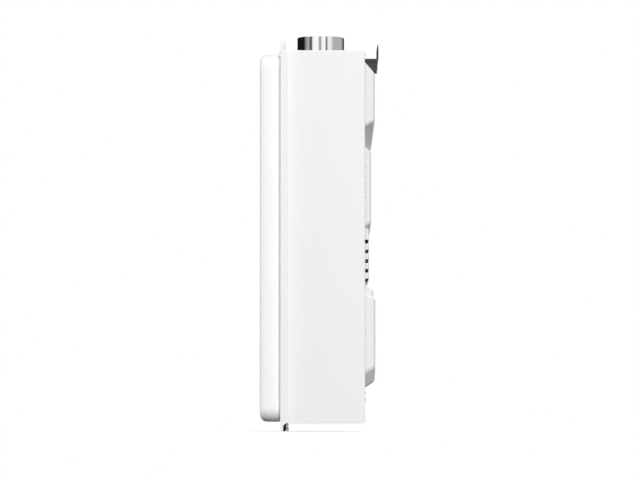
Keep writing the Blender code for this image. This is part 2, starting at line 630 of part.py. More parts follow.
def fan_housing():
    """The scroll, with the eye at the rear, the motor's hole in front and a flange round the outlet."""
    housing = finish("fan_housing", prism(scroll_outline(0.0), "Y", FAN_FRONT, FAN_REAR), GALVANISED)
    fuse(housing, box((-42.0, 46.0), (FAN_FRONT - 8.0, FAN_REAR + 8.0), (605.6, 607.4)))
    cut(housing, prism(scroll_outline(CORE_SHEET), "Y", FAN_FRONT + CORE_SHEET, FAN_REAR - CORE_SHEET))
    cut(housing, rod(31.0, FAN_REAR - 6.0, FAN_REAR + 6.0, 24, (FAN_X, 0.0, FAN_HEIGHT), "Y"))
    cut(housing, rod(10.0, FAN_FRONT - 6.0, FAN_FRONT + 6.0, 16, (FAN_X, 0.0, FAN_HEIGHT), "Y"))


def flue_gasket():
    """The soft seal between the fan's outlet and the case's top."""
    outer = rounded_rect(88.0, 64.0, 3.0, 1, (2.0, -95.0))
    inner = rounded_rect(56.0, 56.0, 2.0, 1, (2.0, -95.0))
    rings = [[(u, v, h) for u, v in outline]
             for outline, h in ((outer, 607.8), (outer, 610.5), (inner, 610.5), (inner, 607.8))]
    finish("flue_gasket", loft(rings, closed=True), FOAM)


def fan():
    """The squirrel-cage impeller on its shaft, and the motor that drives it."""
    centre = (FAN_X, 0.0, FAN_HEIGHT)
    disc_front, ring_rear = FAN_FRONT + 4.0, FAN_REAR - 6.0
    disc = [(3.0, disc_front - 1.0), (8.0, disc_front - 1.0), (9.0, disc_front), (IMPELLER_RADIUS, disc_front),
            (IMPELLER_RADIUS, disc_front + 1.5), (9.0, disc_front + 1.5), (8.0, disc_front + 9.0),
            (3.0, disc_front + 9.0)]
    impeller = finish("fan_impeller", turned(disc, 24, centre, "Y"), GALVANISED,
                      origin=(FAN_X, disc_front, FAN_HEIGHT))
    blades = bmesh.new()
    for k in range(BLADE_COUNT):
        blade(math.tau * k / BLADE_COUNT, disc_front + 0.6, ring_rear - 0.6, blades)
    fuse(impeller, blades)
    rim = IMPELLER_RADIUS
    band = [(rim - 4.0, ring_rear - 1.6), (rim, ring_rear - 1.6), (rim, ring_rear), (rim - 4.0, ring_rear)]
    fuse(impeller, turned(band, 24, centre, "Y"))
    finish("fan_shaft", rod(2.7, FAN_FRONT - 22.0, disc_front + 8.0, 12, centre, "Y"), STAINLESS,
           origin=(FAN_X, FAN_FRONT, FAN_HEIGHT))
    plate_rear = FAN_FRONT - FIT_GAP
    can = [(3.2, plate_rear), (30.0, plate_rear), (30.0, plate_rear - 2.0), (27.0, plate_rear - 2.0),
           (27.0, plate_rear - 24.0), (24.0, plate_rear - 27.0), (3.2, plate_rear - 27.0)]
    motor = finish("fan_motor", turned(can, 20, centre, "Y"), BLACK_PLASTIC)
    lugs = bmesh.new()
    for k in range(3):
        angle = math.radians(90 + 120 * k)
        place = (FAN_X + 31.0 * math.cos(angle), 0.0, FAN_HEIGHT + 31.0 * math.sin(angle))
        rod(5.0, plate_rear - 2.6, plate_rear - 0.2, 8, place, "Y", into=lugs)
    fuse(motor, lugs)


def blade(angle, low, high, into):
    """One forward-curved blade: a thin bent strip across the cage."""
    thickness = 1.2
    outer, inner = [], []
    for i in range(3):
        along = i / 2
        radius = 33.0 + 7.6 * along
        lean = angle + 0.16 * along * along
        for points, side in ((outer, 0.5), (inner, -0.5)):
            offset = lean + side * thickness / radius
            points.append((FAN_X + radius * math.cos(offset), FAN_HEIGHT + radius * math.sin(offset)))
    prism(outer + inner[::-1], "Y", low, high, into)


def gas_train():
    """Fitting, valve with its coils, feed pipe and the manifold with a jet for each burner bar."""
    pipe_fitting("gas_inlet_fitting", 0.0)
    valve = finish("gas_valve", prism(rounded_rect(56.0, 46.0, 5.0, 2, (0.0, FITTING_Y)), "Z", 62.0, 112.0), DIE_CAST)
    bosses = bmesh.new()
    rod(15.0, 50.4, 64.0, 16, (0.0, FITTING_Y, 0.0), into=bosses)
    rod(12.0, 110.0, 120.0, 16, (0.0, FITTING_Y, 0.0), into=bosses)
    fuse(valve, bosses)
    fuse(valve, box((-22.0, 22.0), (FITTING_Y - 26.0, FITTING_Y - 20.0), (70.0, 108.0)))
    cut(valve, rod(5.0, 20.0, 40.0, 12, (0.0, FITTING_Y, 87.0), "X"))
    seat = FITTING_Y - 26.0 - FIT_GAP
    for name, h in (("safety_solenoid", 80.0), ("main_solenoid", 99.0)):
        can = [(0.0, seat), (8.5, seat), (8.5, seat - 24.0), (5.0, seat - 26.0), (5.0, seat - 29.0), (0.0, seat - 29.0)]
        finish(name, turned(can, 16, (0.0, 0.0, h), "Y"), STAINLESS)
    coil = [(4.6, 28.3), (14.0, 28.3), (14.0, 31.0), (12.5, 31.0), (12.5, 51.0), (14.0, 51.0), (14.0, 54.0),
            (4.6, 54.0)]
    finish("modulating_coil", turned(coil, 20, (0.0, FITTING_Y, 87.0), "X"), BLACK_PLASTIC)
    stem = [(0.0, 25.0), (4.2, 25.0), (4.2, 54.0), (2.6, 55.5), (2.6, 58.0), (0.0, 58.0)]
    finish("valve_plunger", turned(stem, 12, (0.0, FITTING_Y, 87.0), "X"), STAINLESS,
           origin=(40.0, FITTING_Y, 87.0))
    corners = [(0.0, FITTING_Y, 120.3), (0.0, FITTING_Y, 154.0),
               (0.0, MANIFOLD_Y, 160.0), (0.0, MANIFOLD_Y, 192.7)]
    tube("gas_feed_pipe", bend_path(corners, 16.0, 4), 5.2, GALVANISED)
    bar = rounded_rect(10.4, 14.0, 2.5, 2, (MANIFOLD_Y, 200.0))
    manifold = finish("gas_manifold", prism(bar, "X", -96.0, 96.0), DIE_CAST)
    jets = bmesh.new()
    for k in range(BAR_COUNT):
        jet = [(0.0, -141.5), (4.0, -141.5), (4.0, -135.0), (2.6, -130.0), (0.0, -130.0)]
        turned(jet, 6, (bar_x(k), 0.0, 200.0), "Y", into=jets)
    fuse(manifold, jets)
    tab = [(-147.0, 205.5), (-134.3, 205.5), (-134.3, 220.0), (-135.8, 220.0), (-135.8, 207.5), (-147.0, 207.5)]
    lugs = bmesh.new()
    for side in (-1, 1):
        prism(tab, "X", *sorted((side * 84.0, side * 95.0)), into=lugs)
    fuse(manifold, lugs)


def hexagon(radius, x, y):
    return [(x + radius * math.cos(math.tau * i / 6), y + radius * math.sin(math.tau * i / 6)) for i in range(6)]


def pipe_fitting(name, x):
    """A hexagonal brass socket whose threaded mouth is flush with the bottom panel."""
    top, flats = 49.8, 18.5
    mouth = [(9.3, CASE_BASE + FIT_GAP), (15.5, CASE_BASE + FIT_GAP), (15.5, top), (6.5, top), (6.5, 33.0),
             (9.3, 33.0)]
    fitting = finish(name, turned(mouth, 12, (x, FITTING_Y, 0.0)), BRASS)
    nut = prism(hexagon(flats, x, FITTING_Y), "Z", CASE_BASE + CASE_SHEET + FIT_GAP, 30.0)
    fuse(fitting, nut)
    cut(fitting, rod(9.3, 10.0, 33.0, 12, (x, FITTING_Y, 0.0)))
    return fitting


def water_inlet():
    """The cold fitting, the flow sensor with its turbine, and the drain branch with its plug."""
    pipe_fitting("cold_inlet_fitting", FITTING_PITCH)
    x = FITTING_PITCH
    wall = [(11.5, 50.2), (17.0, 50.2), (17.0, 54.0), (15.0, 56.0), (15.0, 90.0), (17.0, 92.0), (17.0, 96.2),
            (11.5, 96.2)]
    body = finish("flow_sensor_body", turned(wall, 16, (x, FITTING_Y, 0.0)), BLACK_PLASTIC)
    webs = bmesh.new()
    for h in (56.0, 88.0):
        box((x - 13.0, x + 13.0), (FITTING_Y - 1.6, FITTING_Y + 1.6), (h, h + 3.0), into=webs)
    fuse(body, webs)
    fuse(body, box((x - 8.0, x + 8.0), (FITTING_Y - 23.0, FITTING_Y - 12.0), (64.0, 82.0)))
    cut(body, rod(11.5, 60.0, 86.0, 16, (x, FITTING_Y, 0.0)))
    turbine = finish("flow_turbine", rod(3.6, 60.0, 86.5, 10, (x, FITTING_Y, 0.0)), GREY_PLASTIC,
                     origin=(x, FITTING_Y, 73.0))
    for k in range(5):
        fuse(turbine, vane(math.tau * k / 5, x))
    stub = [(0.0, 14.8), (5.8, 14.8), (5.8, 34.0), (0.0, 34.0)]
    branch = finish("drain_branch", turned(stub, 12, (x, DRAIN_Y, 0.0)), BRASS)
    fuse(branch, rod(4.6, DRAIN_Y, -113.0, 10, (x, 0.0, 27.0), "Y"))
    fuse(branch, box((x - 5.0, x + 5.0), (-117.0, FITTING_Y - 23.0 - FIT_GAP), (22.0, 78.0)))
    cut(branch, rod(3.2, 10.0, 31.0, 12, (x, DRAIN_Y, 0.0)))
    plug = [(0.0, 0.8), (3.8, 0.8), (4.3, 1.5), (4.3, 5.3), (3.4, 5.8), (3.4, 13.0), (2.8, 13.0), (2.8, 27.0),
            (0.0, 27.0)]
    made = finish("drain_plug", turned(plug, 12, (x, DRAIN_Y, 0.0)), CHROME, origin=(x, DRAIN_Y, 0.0))
    fuse(made, prism(hexagon(4.3, x, DRAIN_Y), "Z", 6.4, 12.4))


def vane(angle, x):
    """One twisted vane of the flow turbine."""
    rings = []
    for i in range(4):
        turn = angle + 0.8 * i / 3
        along = Vector((math.cos(turn), math.sin(turn), 0.0))
        across = Vector((-along.y, along.x, 0.0)) * 0.7
        hub, tip = along * 2.6, along * 10.7
        centre = Vector((x, FITTING_Y, 64.0 + 18.0 * i / 3))
        rings.append([centre + hub - across, centre + tip - across, centre + tip + across, centre + hub + across])
    return loft(rings)


def hot_water():
    """The outlet pipe from the last pass down to the hot fitting."""
    pipe_fitting("hot_outlet_fitting", -FITTING_PITCH)
    start = -(CORE_WIDTH / 2 + 7.5 + FIT_GAP)
    last = pass_y(PASS_COUNT - 1)
    corners = [(start, last, PASS_HEIGHT), (-128.0, last, PASS_HEIGHT), (-128.0, last, 150.0),
               (-FITTING_PITCH, FITTING_Y, 110.0), (-FITTING_PITCH, FITTING_Y, 50.1)]
    tube("hot_outlet_pipe", bend_path(corners, 13.0, 4), PIPE_RADIUS, COPPER)


def sensors():
    """The parts that light, watch and guard the flame."""
    wall = CORE_Y - CORE_DEPTH / 2 - FIT_GAP
    for name, x, reach in (("igniter_electrode", -18.0, 24.0), ("flame_rod", 18.0, 40.0)):
        profile = [(0.0, wall - 14.0), (3.2, wall - 14.0), (3.2, wall - 2.0), (8.0, wall - 2.0), (8.0, wall),
                   (3.4, wall), (3.4, wall + 8.0), (1.0, wall + 8.0), (1.0, wall + reach), (0.0, wall + reach)]
        finish(name, turned(profile, 10, (x, 0.0, 258.0), "Y"), CERAMIC)
    cap = [(0.0, wall), (11.0, wall), (11.0, wall - 1.2), (7.5, wall - 1.2), (7.5, wall - 9.0), (0.0, wall - 9.0)]
    guard = finish("overheat_thermostat", turned(cap, 16, (40.0, 0.0, PASS_HEIGHT), "Y"), BLACK_PLASTIC)
    blades = bmesh.new()
    for side in (-1, 1):
        box((40.0 + side * 3.0 - 0.5, 40.0 + side * 3.0 + 0.5), (wall - 14.0, wall - 8.5),
            (PASS_HEIGHT - 2.5, PASS_HEIGHT + 2.5), into=blades)
    fuse(guard, blades)
    x, h = 137.0, 545.0
    disc = [(0.0, -64.0), (3.0, -64.0), (3.0, -56.0), (16.0, -54.0), (16.0, -44.0), (12.0, -42.0), (0.0, -42.0)]
    switch = finish("pressure_switch", turned(disc, 16, (x, 0.0, h), "Y"), BLACK_PLASTIC)
    fuse(switch, box((x - 6.0, x + 6.0), (-43.0, PANEL_INNER - FIT_GAP), (h - 12.0, h + 12.0)))
    corners = [(x, -64.3, h), (x, -84.0, h), (70.0, -95.0, 566.0), (25.6, -95.0, 566.0)]
    tube("pressure_hose", bend_path(corners, 12.0, 4), 2.6, FOAM)


def electronics():
    """The open control tray at the lower left with its board, and the spark module at the lower right."""
    low, high = 40.0, 168.0
    edge = -CASE_WIDTH / 2 + CASE_SHEET + FIT_GAP
    centre, size = (-97.0, (low + high) / 2), (106.0, high - low)
    tray = finish("control_tray", prism(rounded_rect(*size, 5.0, 2, centre), "Y", -149.6, -127.6), GREY_PLASTIC)
    cut(tray, prism(rounded_rect(size[0] - 4.0, size[1] - 4.0, 3.0, 2, centre), "Y", -160.0, -129.6))
    ears = bmesh.new()
    for h in (52.0, 144.0):
        box((edge, -148.5), (-131.6, -128.2), (h, h + 12.0), into=ears)
    fuse(tray, ears)
    board = finish("control_board", box((-147.0, -47.0), (-136.6, -135.0), (low + 5.0, high - 5.0)), BOARD_GREEN)
    parts = bmesh.new()
    box((-142.0, -112.0), (-148.8, -136.1), (50.0, 84.0), into=parts)
    box((-100.0, -82.0), (-147.6, -136.1), (52.0, 70.0), into=parts)
    box((-76.0, -58.0), (-147.6, -136.1), (52.0, 70.0), into=parts)
    box((-136.0, -56.0), (-142.6, -136.1), (150.0, 159.0), into=parts)
    box((-100.0, -80.0), (-139.0, -136.1), (104.0, 124.0), into=parts)
    for x, h in ((-132.0, 100.0), (-132.0, 120.0), (-64.0, 90.0)):
        rod(6.0, -147.6, -136.1, 8, (x, 0.0, h), "Y", into=parts)
    rod(2.5, -135.2, -129.9, 8, (-97.0, 0.0, 140.0), "Y", into=parts)
    rod(2.5, -135.2, -129.9, 8, (-97.0, 0.0, 60.0), "Y", into=parts)
    fuse(board, parts)
    block = prism(rounded_rect(30.0, 44.0, 4.0, 2, (136.0, 140.0)), "Y", -150.0, -118.0)
    module = finish("spark_module", block, BLACK_PLASTIC)
    fuse(module, box((148.0, -edge), (-150.0, -118.0), (126.0, 129.0)))
    fuse(module, rod(4.0, 161.0, 172.0, 10, (130.0, -134.0, 0.0)))


def main():
    clear_scene()
    datum = bpy.data.objects.new("datum", None)
    datum.location = (0.0, 0.0, -HANG_HEIGHT * 0.001)
    bpy.context.scene.collection.objects.link(datum)
    front_frame()
    case_shell()
    bottom_panel()
    back_panel()
    hanging_bracket()
    flue_collar()
    flue_gasket()
    front_cover()
    cover_gasket()
    control_panel()
    burner_tray()
    burner_bars()
    combustion_chamber()
    heat_exchanger()
    water_coil()
    flue_hood()
    fan_housing()
    fan()
    gas_train()
    water_inlet()
    hot_water()
    sensors()
    electronics()


main()
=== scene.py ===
import math

import bmesh
import bpy
from mathutils import Matrix, Vector


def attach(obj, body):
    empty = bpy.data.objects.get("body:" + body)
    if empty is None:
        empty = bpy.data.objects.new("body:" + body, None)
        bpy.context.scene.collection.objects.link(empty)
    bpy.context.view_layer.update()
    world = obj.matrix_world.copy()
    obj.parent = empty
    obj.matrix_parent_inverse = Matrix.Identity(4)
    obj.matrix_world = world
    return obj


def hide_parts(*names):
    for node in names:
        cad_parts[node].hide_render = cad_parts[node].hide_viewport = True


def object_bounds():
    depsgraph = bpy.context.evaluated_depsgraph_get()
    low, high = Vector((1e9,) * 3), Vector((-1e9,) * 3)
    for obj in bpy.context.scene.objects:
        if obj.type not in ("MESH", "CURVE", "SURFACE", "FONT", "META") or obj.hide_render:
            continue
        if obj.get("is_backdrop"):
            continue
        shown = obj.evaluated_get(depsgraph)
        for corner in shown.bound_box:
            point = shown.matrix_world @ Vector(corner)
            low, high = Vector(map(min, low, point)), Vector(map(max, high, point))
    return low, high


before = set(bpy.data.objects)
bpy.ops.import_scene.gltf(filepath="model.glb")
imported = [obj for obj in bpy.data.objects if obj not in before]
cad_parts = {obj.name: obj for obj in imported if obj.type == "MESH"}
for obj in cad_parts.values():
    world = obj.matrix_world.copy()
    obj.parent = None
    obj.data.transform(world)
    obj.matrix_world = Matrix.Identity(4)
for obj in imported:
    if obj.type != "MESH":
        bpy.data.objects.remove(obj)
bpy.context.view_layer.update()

# Camera. The picture is taken level from the right of the heater, about six metres away, with the
# lens almost on the floor and tilted up a little. Every length below is in millimetres: x across the
# heater, y from the room to the wall, and h up from the lower edge of the flange.
HANG = 620.0


def mm(x, y, h):
    """A place on the heater, in metres."""
    return Vector((x, y, h - HANG)) / 1000


# In pixels of the picture: its width, the focal length, and how far the horizon lies below the middle.
FRAME, FOCAL, HORIZON_DROP = 640, 3672, 185.8
EYE = (6040, -95.6, 9)
LENS_TILT = math.atan(HORIZON_DROP / FOCAL)
camera = bpy.data.objects.new("camera", bpy.data.cameras.new("camera"))
bpy.context.scene.collection.objects.link(camera)
camera.data.sensor_width = 36.0
camera.data.lens = FOCAL / FRAME * camera.data.sensor_width
camera.data.clip_end = 60.0
camera.location = mm(*EYE)
aim = Vector((-math.cos(LENS_TILT), 0.0, math.sin(LENS_TILT)))
camera.rotation_euler = aim.to_track_quat("-Z", "Y").to_euler()
bpy.context.scene.camera = camera
bpy.context.scene.view_settings.view_transform = "Standard"

# Floor. A white sweep that stays white to the eye and to shiny metal. To soft light it is dark, so
# that what faces down on the heater goes dark, as it does in the photograph.
bpy.ops.object.select_all(action="DESELECT")
bpy.ops.mesh.primitive_plane_add(size=60.0, location=mm(0, -95, -0.2))
floor = bpy.context.object
floor.name = "floor"
floor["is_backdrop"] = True


def add(nodes, kind, **inputs):
    """A new shader node with some of its inputs set."""
    made = nodes.new(f"ShaderNode{kind}")
    for name, value in inputs.items():
        made.inputs[name.replace("_", " ")].default_value = value
    return made


def emptied(owner):
    """The nodes and links of a new material or sky, with nothing in it."""
    owner.use_nodes = True
    owner.node_tree.nodes.clear()
    return owner.node_tree.nodes, owner.node_tree.links


def by_sight(nodes, links, unseen, seen, end):
    """Shows one shader to the eye, to mirrors and through glass, and another to soft light."""
    path = add(nodes, "LightPath")
    total = path.outputs["Is Camera Ray"]
    for kind in ("Is Glossy Ray", "Is Transmission Ray"):
        step = add(nodes, "Math")
        step.operation = "MAXIMUM"
        links.new(total, step.inputs[0])
        links.new(path.outputs[kind], step.inputs[1])
        total = step.outputs[0]
    choice = add(nodes, "MixShader")
    for number, source in enumerate((total, unseen.outputs[0], seen.outputs[0])):
        links.new(source, choice.inputs[number])
    links.new(choice.outputs[0], add(nodes, end).inputs[0])


sweep = bpy.data.materials.new("white_sweep")
nodes, links = emptied(sweep)
drape = add(nodes, "BsdfDiffuse", Color=(0.86, 0.86, 0.86, 1.0))
glow = add(nodes, "Emission", Strength=0.24)
bright = add(nodes, "AddShader")
links.new(drape.outputs[0], bright.inputs[0])
links.new(glow.outputs[0], bright.inputs[1])
far_off = add(nodes, "Emission")
span = add(nodes, "VectorMath")
span.operation = "LENGTH"
links.new(add(nodes, "TexCoord").outputs["Object"], span.inputs[0])
reach = add(nodes, "MapRange", From_Min=0.35, From_Max=1.3)
links.new(span.outputs["Value"], reach.inputs["Value"])
seen = add(nodes, "MixShader")
for number, source in enumerate((reach.outputs["Result"], bright.outputs[0], far_off.outputs[0])):
    links.new(source, seen.inputs[number])
dark = add(nodes, "BsdfDiffuse", Color=(0.04, 0.04, 0.04, 1.0))
by_sight(nodes, links, dark, seen, "OutputMaterial")
floor.data.materials.append(sweep)

# Studio light. Four broad lamps stand round the heater, above it, under a soft sky. The sky is plain
# white to the eye.
sky = bpy.data.worlds.new("sky")
bpy.context.scene.world = sky
nodes, links = emptied(sky)
soft = add(nodes, "Background", Strength=0.20, Color=(1.0, 1.0, 1.0, 1.0))
plain = add(nodes, "Background", Color=(1.0, 1.0, 1.0, 1.0))
by_sight(nodes, links, soft, plain, "OutputWorld")

LIT_AT = (0, -95, 330)
for side, place, breadth, height, power in (
    ("right", (8500, 700, 4500), 3.0, 2.0, 865.0),
    ("left", (-3400, 0, 1050), 2.6, 1.2, 52.0),
    ("front", (-200, -3500, 1050), 2.6, 1.2, 64.0),
    ("rear", (-2600, 2100, 1050), 2.6, 1.2, 70.0),
):
    lamp = bpy.data.objects.new(f"lamp_{side}", bpy.data.lights.new(f"lamp_{side}", "AREA"))
    bpy.context.scene.collection.objects.link(lamp)
    lamp.data.shape = "RECTANGLE"
    lamp.data.size = breadth
    lamp.data.size_y = height
    lamp.data.energy = power
    lamp.location = mm(*place)
    lamp.rotation_euler = (mm(*LIT_AT) - lamp.location).to_track_quat("-Z", "Y").to_euler()
    lamp.visible_glossy = False

# Ring of white panels and dark flags, set all round the heater. Only shiny metal sees it, and it is
# what draws the light and dark bands on the collar. A panel runs from one bearing to the next, counted
# in degrees from the camera's side towards the wall, and has one brightness. They blend in the gaps.
COLLAR_Y = -94.4
PANELS = (
    (-179, -90, 0.01), (-71, -60, 0.4), (-54, -46, 0.1), (-38, -13, 1.0), (-7, 1, 0.4), (6, 21, 1.0),
    (26, 30, 0.2), (37, 48, 0.9), (66, 121, 0.45), (150, 179, 0.01),
)
bpy.ops.object.select_all(action="DESELECT")
bpy.ops.mesh.primitive_cylinder_add(vertices=96, radius=4.6, depth=4.0, end_fill_type="NOTHING",
                                    location=mm(0, COLLAR_Y, 2100))
ring = bpy.context.object
ring.name = "flag_ring"
bpy.ops.object.transform_apply(location=True, rotation=False, scale=False)
ring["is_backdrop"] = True
for ray in ("camera", "diffuse", "transmission", "volume_scatter", "shadow"):
    setattr(ring, f"visible_{ray}", False)
flags = bpy.data.materials.new("panels_and_flags")
nodes, links = emptied(flags)
coordinate = add(nodes, "TexCoord")
centred = add(nodes, "Mapping", Location=(0.0, -COLLAR_Y / 1000, 0.0))
bearing = add(nodes, "TexGradient")
bearing.gradient_type = "RADIAL"
bands = add(nodes, "ValToRGB")
for mark in bands.color_ramp.elements:
    mark.color = (0.0, 0.0, 0.0, 1.0)
for start, end, level in PANELS:
    for degrees in (start, end):
        mark = bands.color_ramp.elements.new((degrees + 180.0) / 360.0)
        mark.color = (level, level, level, 1.0)
panel = add(nodes, "Emission")
links.new(coordinate.outputs["Object"], centred.inputs[0])
links.new(centred.outputs[0], bearing.inputs[0])
links.new(bearing.outputs["Color"], bands.inputs[0])
links.new(bands.outputs[0], panel.inputs["Color"])
links.new(panel.outputs[0], add(nodes, "OutputMaterial").inputs[0])
ring.data.materials.append(flags)

# Case. One steel sheet bent into the left side, the top and the right side, powder coated white. Its
# rear edge turns in as a narrow flange, and the top has a round hole for the flue.
CASE_HALF = 161.0
CASE_FRONT, CASE_REAR = -157.2, -23.4
CASE_BASE, CASE_TOP = 13.3, 612.1
SHEET, CORNER = 1.2, 3.0


def put_down():
    """Leaves the piece in hand, so that nothing is picked."""
    if bpy.context.mode != "OBJECT":
        bpy.ops.object.mode_set(mode="OBJECT")
    bpy.ops.object.select_all(action="DESELECT")


def call(piece, name):
    """Names a piece and its mesh."""
    piece.name = name
    piece.data.name = name
    return piece


def block(name, x, y, h):
    """A block from three (low, high) pairs."""
    put_down()
    bpy.ops.mesh.primitive_cube_add(size=1.0, location=mm(sum(x) / 2, sum(y) / 2, sum(h) / 2))
    piece = call(bpy.context.object, name)
    piece.scale = [abs(pair[1] - pair[0]) / 1000 for pair in (x, y, h)]
    bpy.ops.object.transform_apply()
    return piece


def take(piece, mode="OBJECT"):
    """Makes a piece the one that is worked on."""
    put_down()
    bpy.context.view_layer.objects.active = piece
    piece.select_set(True)
    if mode == "EDIT":
        bpy.ops.object.mode_set(mode="EDIT")
        bpy.ops.mesh.select_mode(type="VERT")
        bpy.ops.mesh.select_all(action="SELECT")


def pick(piece, kind, test):
    """Picks faces, edges or points by their middle in millimetres and their normal or direction."""
    if bpy.context.mode != "EDIT_MESH" or bpy.context.object != piece:
        take(piece, "EDIT")
    bpy.ops.mesh.select_mode(type=kind)
    bpy.ops.mesh.select_all(action="DESELECT")
    mesh = bmesh.from_edit_mesh(piece.data)
    mesh.normal_update()
    for part in {"FACE": mesh.faces, "EDGE": mesh.edges, "VERT": mesh.verts}[kind]:
        points = [part] if kind == "VERT" else part.verts
        middle = sum((point.co for point in points), Vector()) / len(points) * 1000
        middle.z += HANG
        if kind == "EDGE":
            heading = (points[1].co - points[0].co).normalized()
        else:
            heading = part.normal
        if test(middle, heading):
            part.select_set(True)
    mesh.select_flush_mode()
    bmesh.update_edit_mesh(piece.data)


def round_edges(piece, width, segments, test):
    """Rounds the edges that a test picks by a width in millimetres."""
    pick(piece, "EDGE", test)
    bpy.ops.mesh.bevel(offset=width / 1000, segments=segments, affect="EDGES")


def score(piece, facing, *places):
    """Draws lines right round a piece, square to one direction, so that its points can be moved."""
    take(piece, "EDIT")
    for place in places:
        bpy.ops.mesh.select_all(action="SELECT")
        bpy.ops.mesh.bisect(plane_co=mm(0, place, place), plane_no=facing)


def work(piece, kind, **settings):
    """Adds a modifier and applies it."""
    take(piece)
    step = piece.modifiers.new(kind.lower(), kind)
    for name, value in settings.items():
        setattr(step, name, value)
    bpy.ops.object.modifier_apply(modifier=step.name)


def combine(piece, other, operation="DIFFERENCE"):
    """Cuts the other shape out of a piece, or joins it on, and uses it up."""
    work(piece, "BOOLEAN", operation=operation, solver="EXACT", object=other)
    bpy.data.objects.remove(other)


def drill(piece, radius, depth, at):
    """Drills a round hole upwards through a sheet."""
    put_down()
    bpy.ops.mesh.primitive_cylinder_add(vertices=64, radius=radius / 1000, depth=depth / 1000,
                                        location=mm(*at))
    combine(piece, bpy.context.object)


def soften(piece, width, segments=3, angle=30.0):
    """Rounds every sharp edge by a width in millimetres."""
    work(piece, "BEVEL", width=width / 1000, segments=segments, limit_method="ANGLE",
         angle_limit=math.radians(angle), use_clamp_overlap=True, miter_outer="MITER_ARC")


def fit(piece, look, *stands_for, body="heater"):
    """Paints a finished piece, hangs it on its body and hides the plain nodes that it stands for. Wide
    flat faces lead the shading, so that they stay flat beside rounded edges and cut slots."""
    paint, slot = look
    take(piece)
    bpy.ops.object.shade_smooth_by_angle(angle=math.radians(32))
    work(piece, "WEIGHTED_NORMAL", keep_sharp=True)
    piece.data.materials.clear()
    piece.data.materials.append(paint)
    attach(piece, body)
    if stands_for:
        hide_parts(*stands_for)
    return piece


def skin_effect():
    """Slow drift of tint and shine over a surface, and its fine grain."""
    tree = bpy.data.node_groups.new("skin", "ShaderNodeTree")
    inputs = (("Vector", "Vector"), ("Colour", "Color"), ("Drift", "Float"), ("Roughness", "Float"),
              ("Spread", "Float"), ("Fine", "Float"))
    outputs = (("Colour", "Color"), ("Roughness", "Float"), ("Height", "Float"))
    for side, sockets in (("INPUT", inputs), ("OUTPUT", outputs)):
        for name, kind in sockets:
            tree.interface.new_socket(name, in_out=side, socket_type=f"NodeSocket{kind}")
    nodes, links = tree.nodes, tree.links
    into, out = nodes.new("NodeGroupInput"), nodes.new("NodeGroupOutput")

    def noise(scale, detail):
        made = add(nodes, "TexNoise", Scale=scale, Detail=detail)
        links.new(into.outputs["Vector"], made.inputs["Vector"])
        return made

    def swing(source, amount, base):
        """base + (source - 0.5) * amount"""
        centre, grow = add(nodes, "Math"), add(nodes, "Math")
        centre.operation, grow.operation = "SUBTRACT", "MULTIPLY_ADD"
        centre.inputs[1].default_value = 0.5
        links.new(source, centre.inputs[0])
        links.new(centre.outputs[0], grow.inputs[0])
        links.new(amount, grow.inputs[1])
        if isinstance(base, float):
            grow.inputs[2].default_value = base
        else:
            links.new(base, grow.inputs[2])
        return grow.outputs[0]

    tint = add(nodes, "HueSaturation")
    links.new(into.outputs["Colour"], tint.inputs["Color"])
    links.new(swing(noise(11.0, 4.0).outputs[0], into.outputs["Drift"], 1.0), tint.inputs["Value"])
    links.new(tint.outputs[0], out.inputs["Colour"])
    links.new(swing(noise(37.0, 5.0).outputs[0], into.outputs["Spread"], into.outputs["Roughness"]),
              out.inputs["Roughness"])
    fine = noise(1.0, 2.0)
    links.new(into.outputs["Fine"], fine.inputs["Scale"])
    links.new(fine.outputs[0], out.inputs["Height"])
    return tree


SKIN = skin_effect()


def finish(name, slot, colour, roughness, metallic=0.0, drift=0.10, spread=0.12, fine=900.0, depth=0.02,
           stretch=(1.0, 1.0, 1.0), coat=0.0):
    """A finish whose tint, shine and grain vary, and its slot. Depth is the grain's height in mm."""
    made = bpy.data.materials.new(name)
    made.use_nodes = True
    nodes, links = made.node_tree.nodes, made.node_tree.links
    shader = nodes["Principled BSDF"]
    shader.inputs["Metallic"].default_value = metallic
    shader.inputs["Coat Weight"].default_value = coat
    place, scaled = add(nodes, "TexCoord"), add(nodes, "Mapping", Scale=stretch)
    skin = add(nodes, "Group")
    skin.node_tree = SKIN
    skin.name = "skin"
    skin.inputs["Colour"].default_value = (*colour, 1.0)
    for socket, value in (("Drift", drift), ("Roughness", roughness), ("Spread", spread), ("Fine", fine)):
        skin.inputs[socket].default_value = value
    bump = add(nodes, "Bump", Distance=depth / 1000)
    links.new(place.outputs["Object"], scaled.inputs["Vector"])
    links.new(scaled.outputs[0], skin.inputs["Vector"])
    links.new(skin.outputs["Colour"], shader.inputs["Base Color"])
    links.new(skin.outputs["Roughness"], shader.inputs["Roughness"])
    links.new(skin.outputs["Height"], bump.inputs["Height"])
    links.new(bump.outputs[0], shader.inputs["Normal"])
    return made, slot


WHITE_COAT = finish("white_powder_coat", "white_paint", (0.86, 0.86, 0.855), 0.42, drift=0.012, spread=0.06,
                    fine=760.0, depth=0.03)

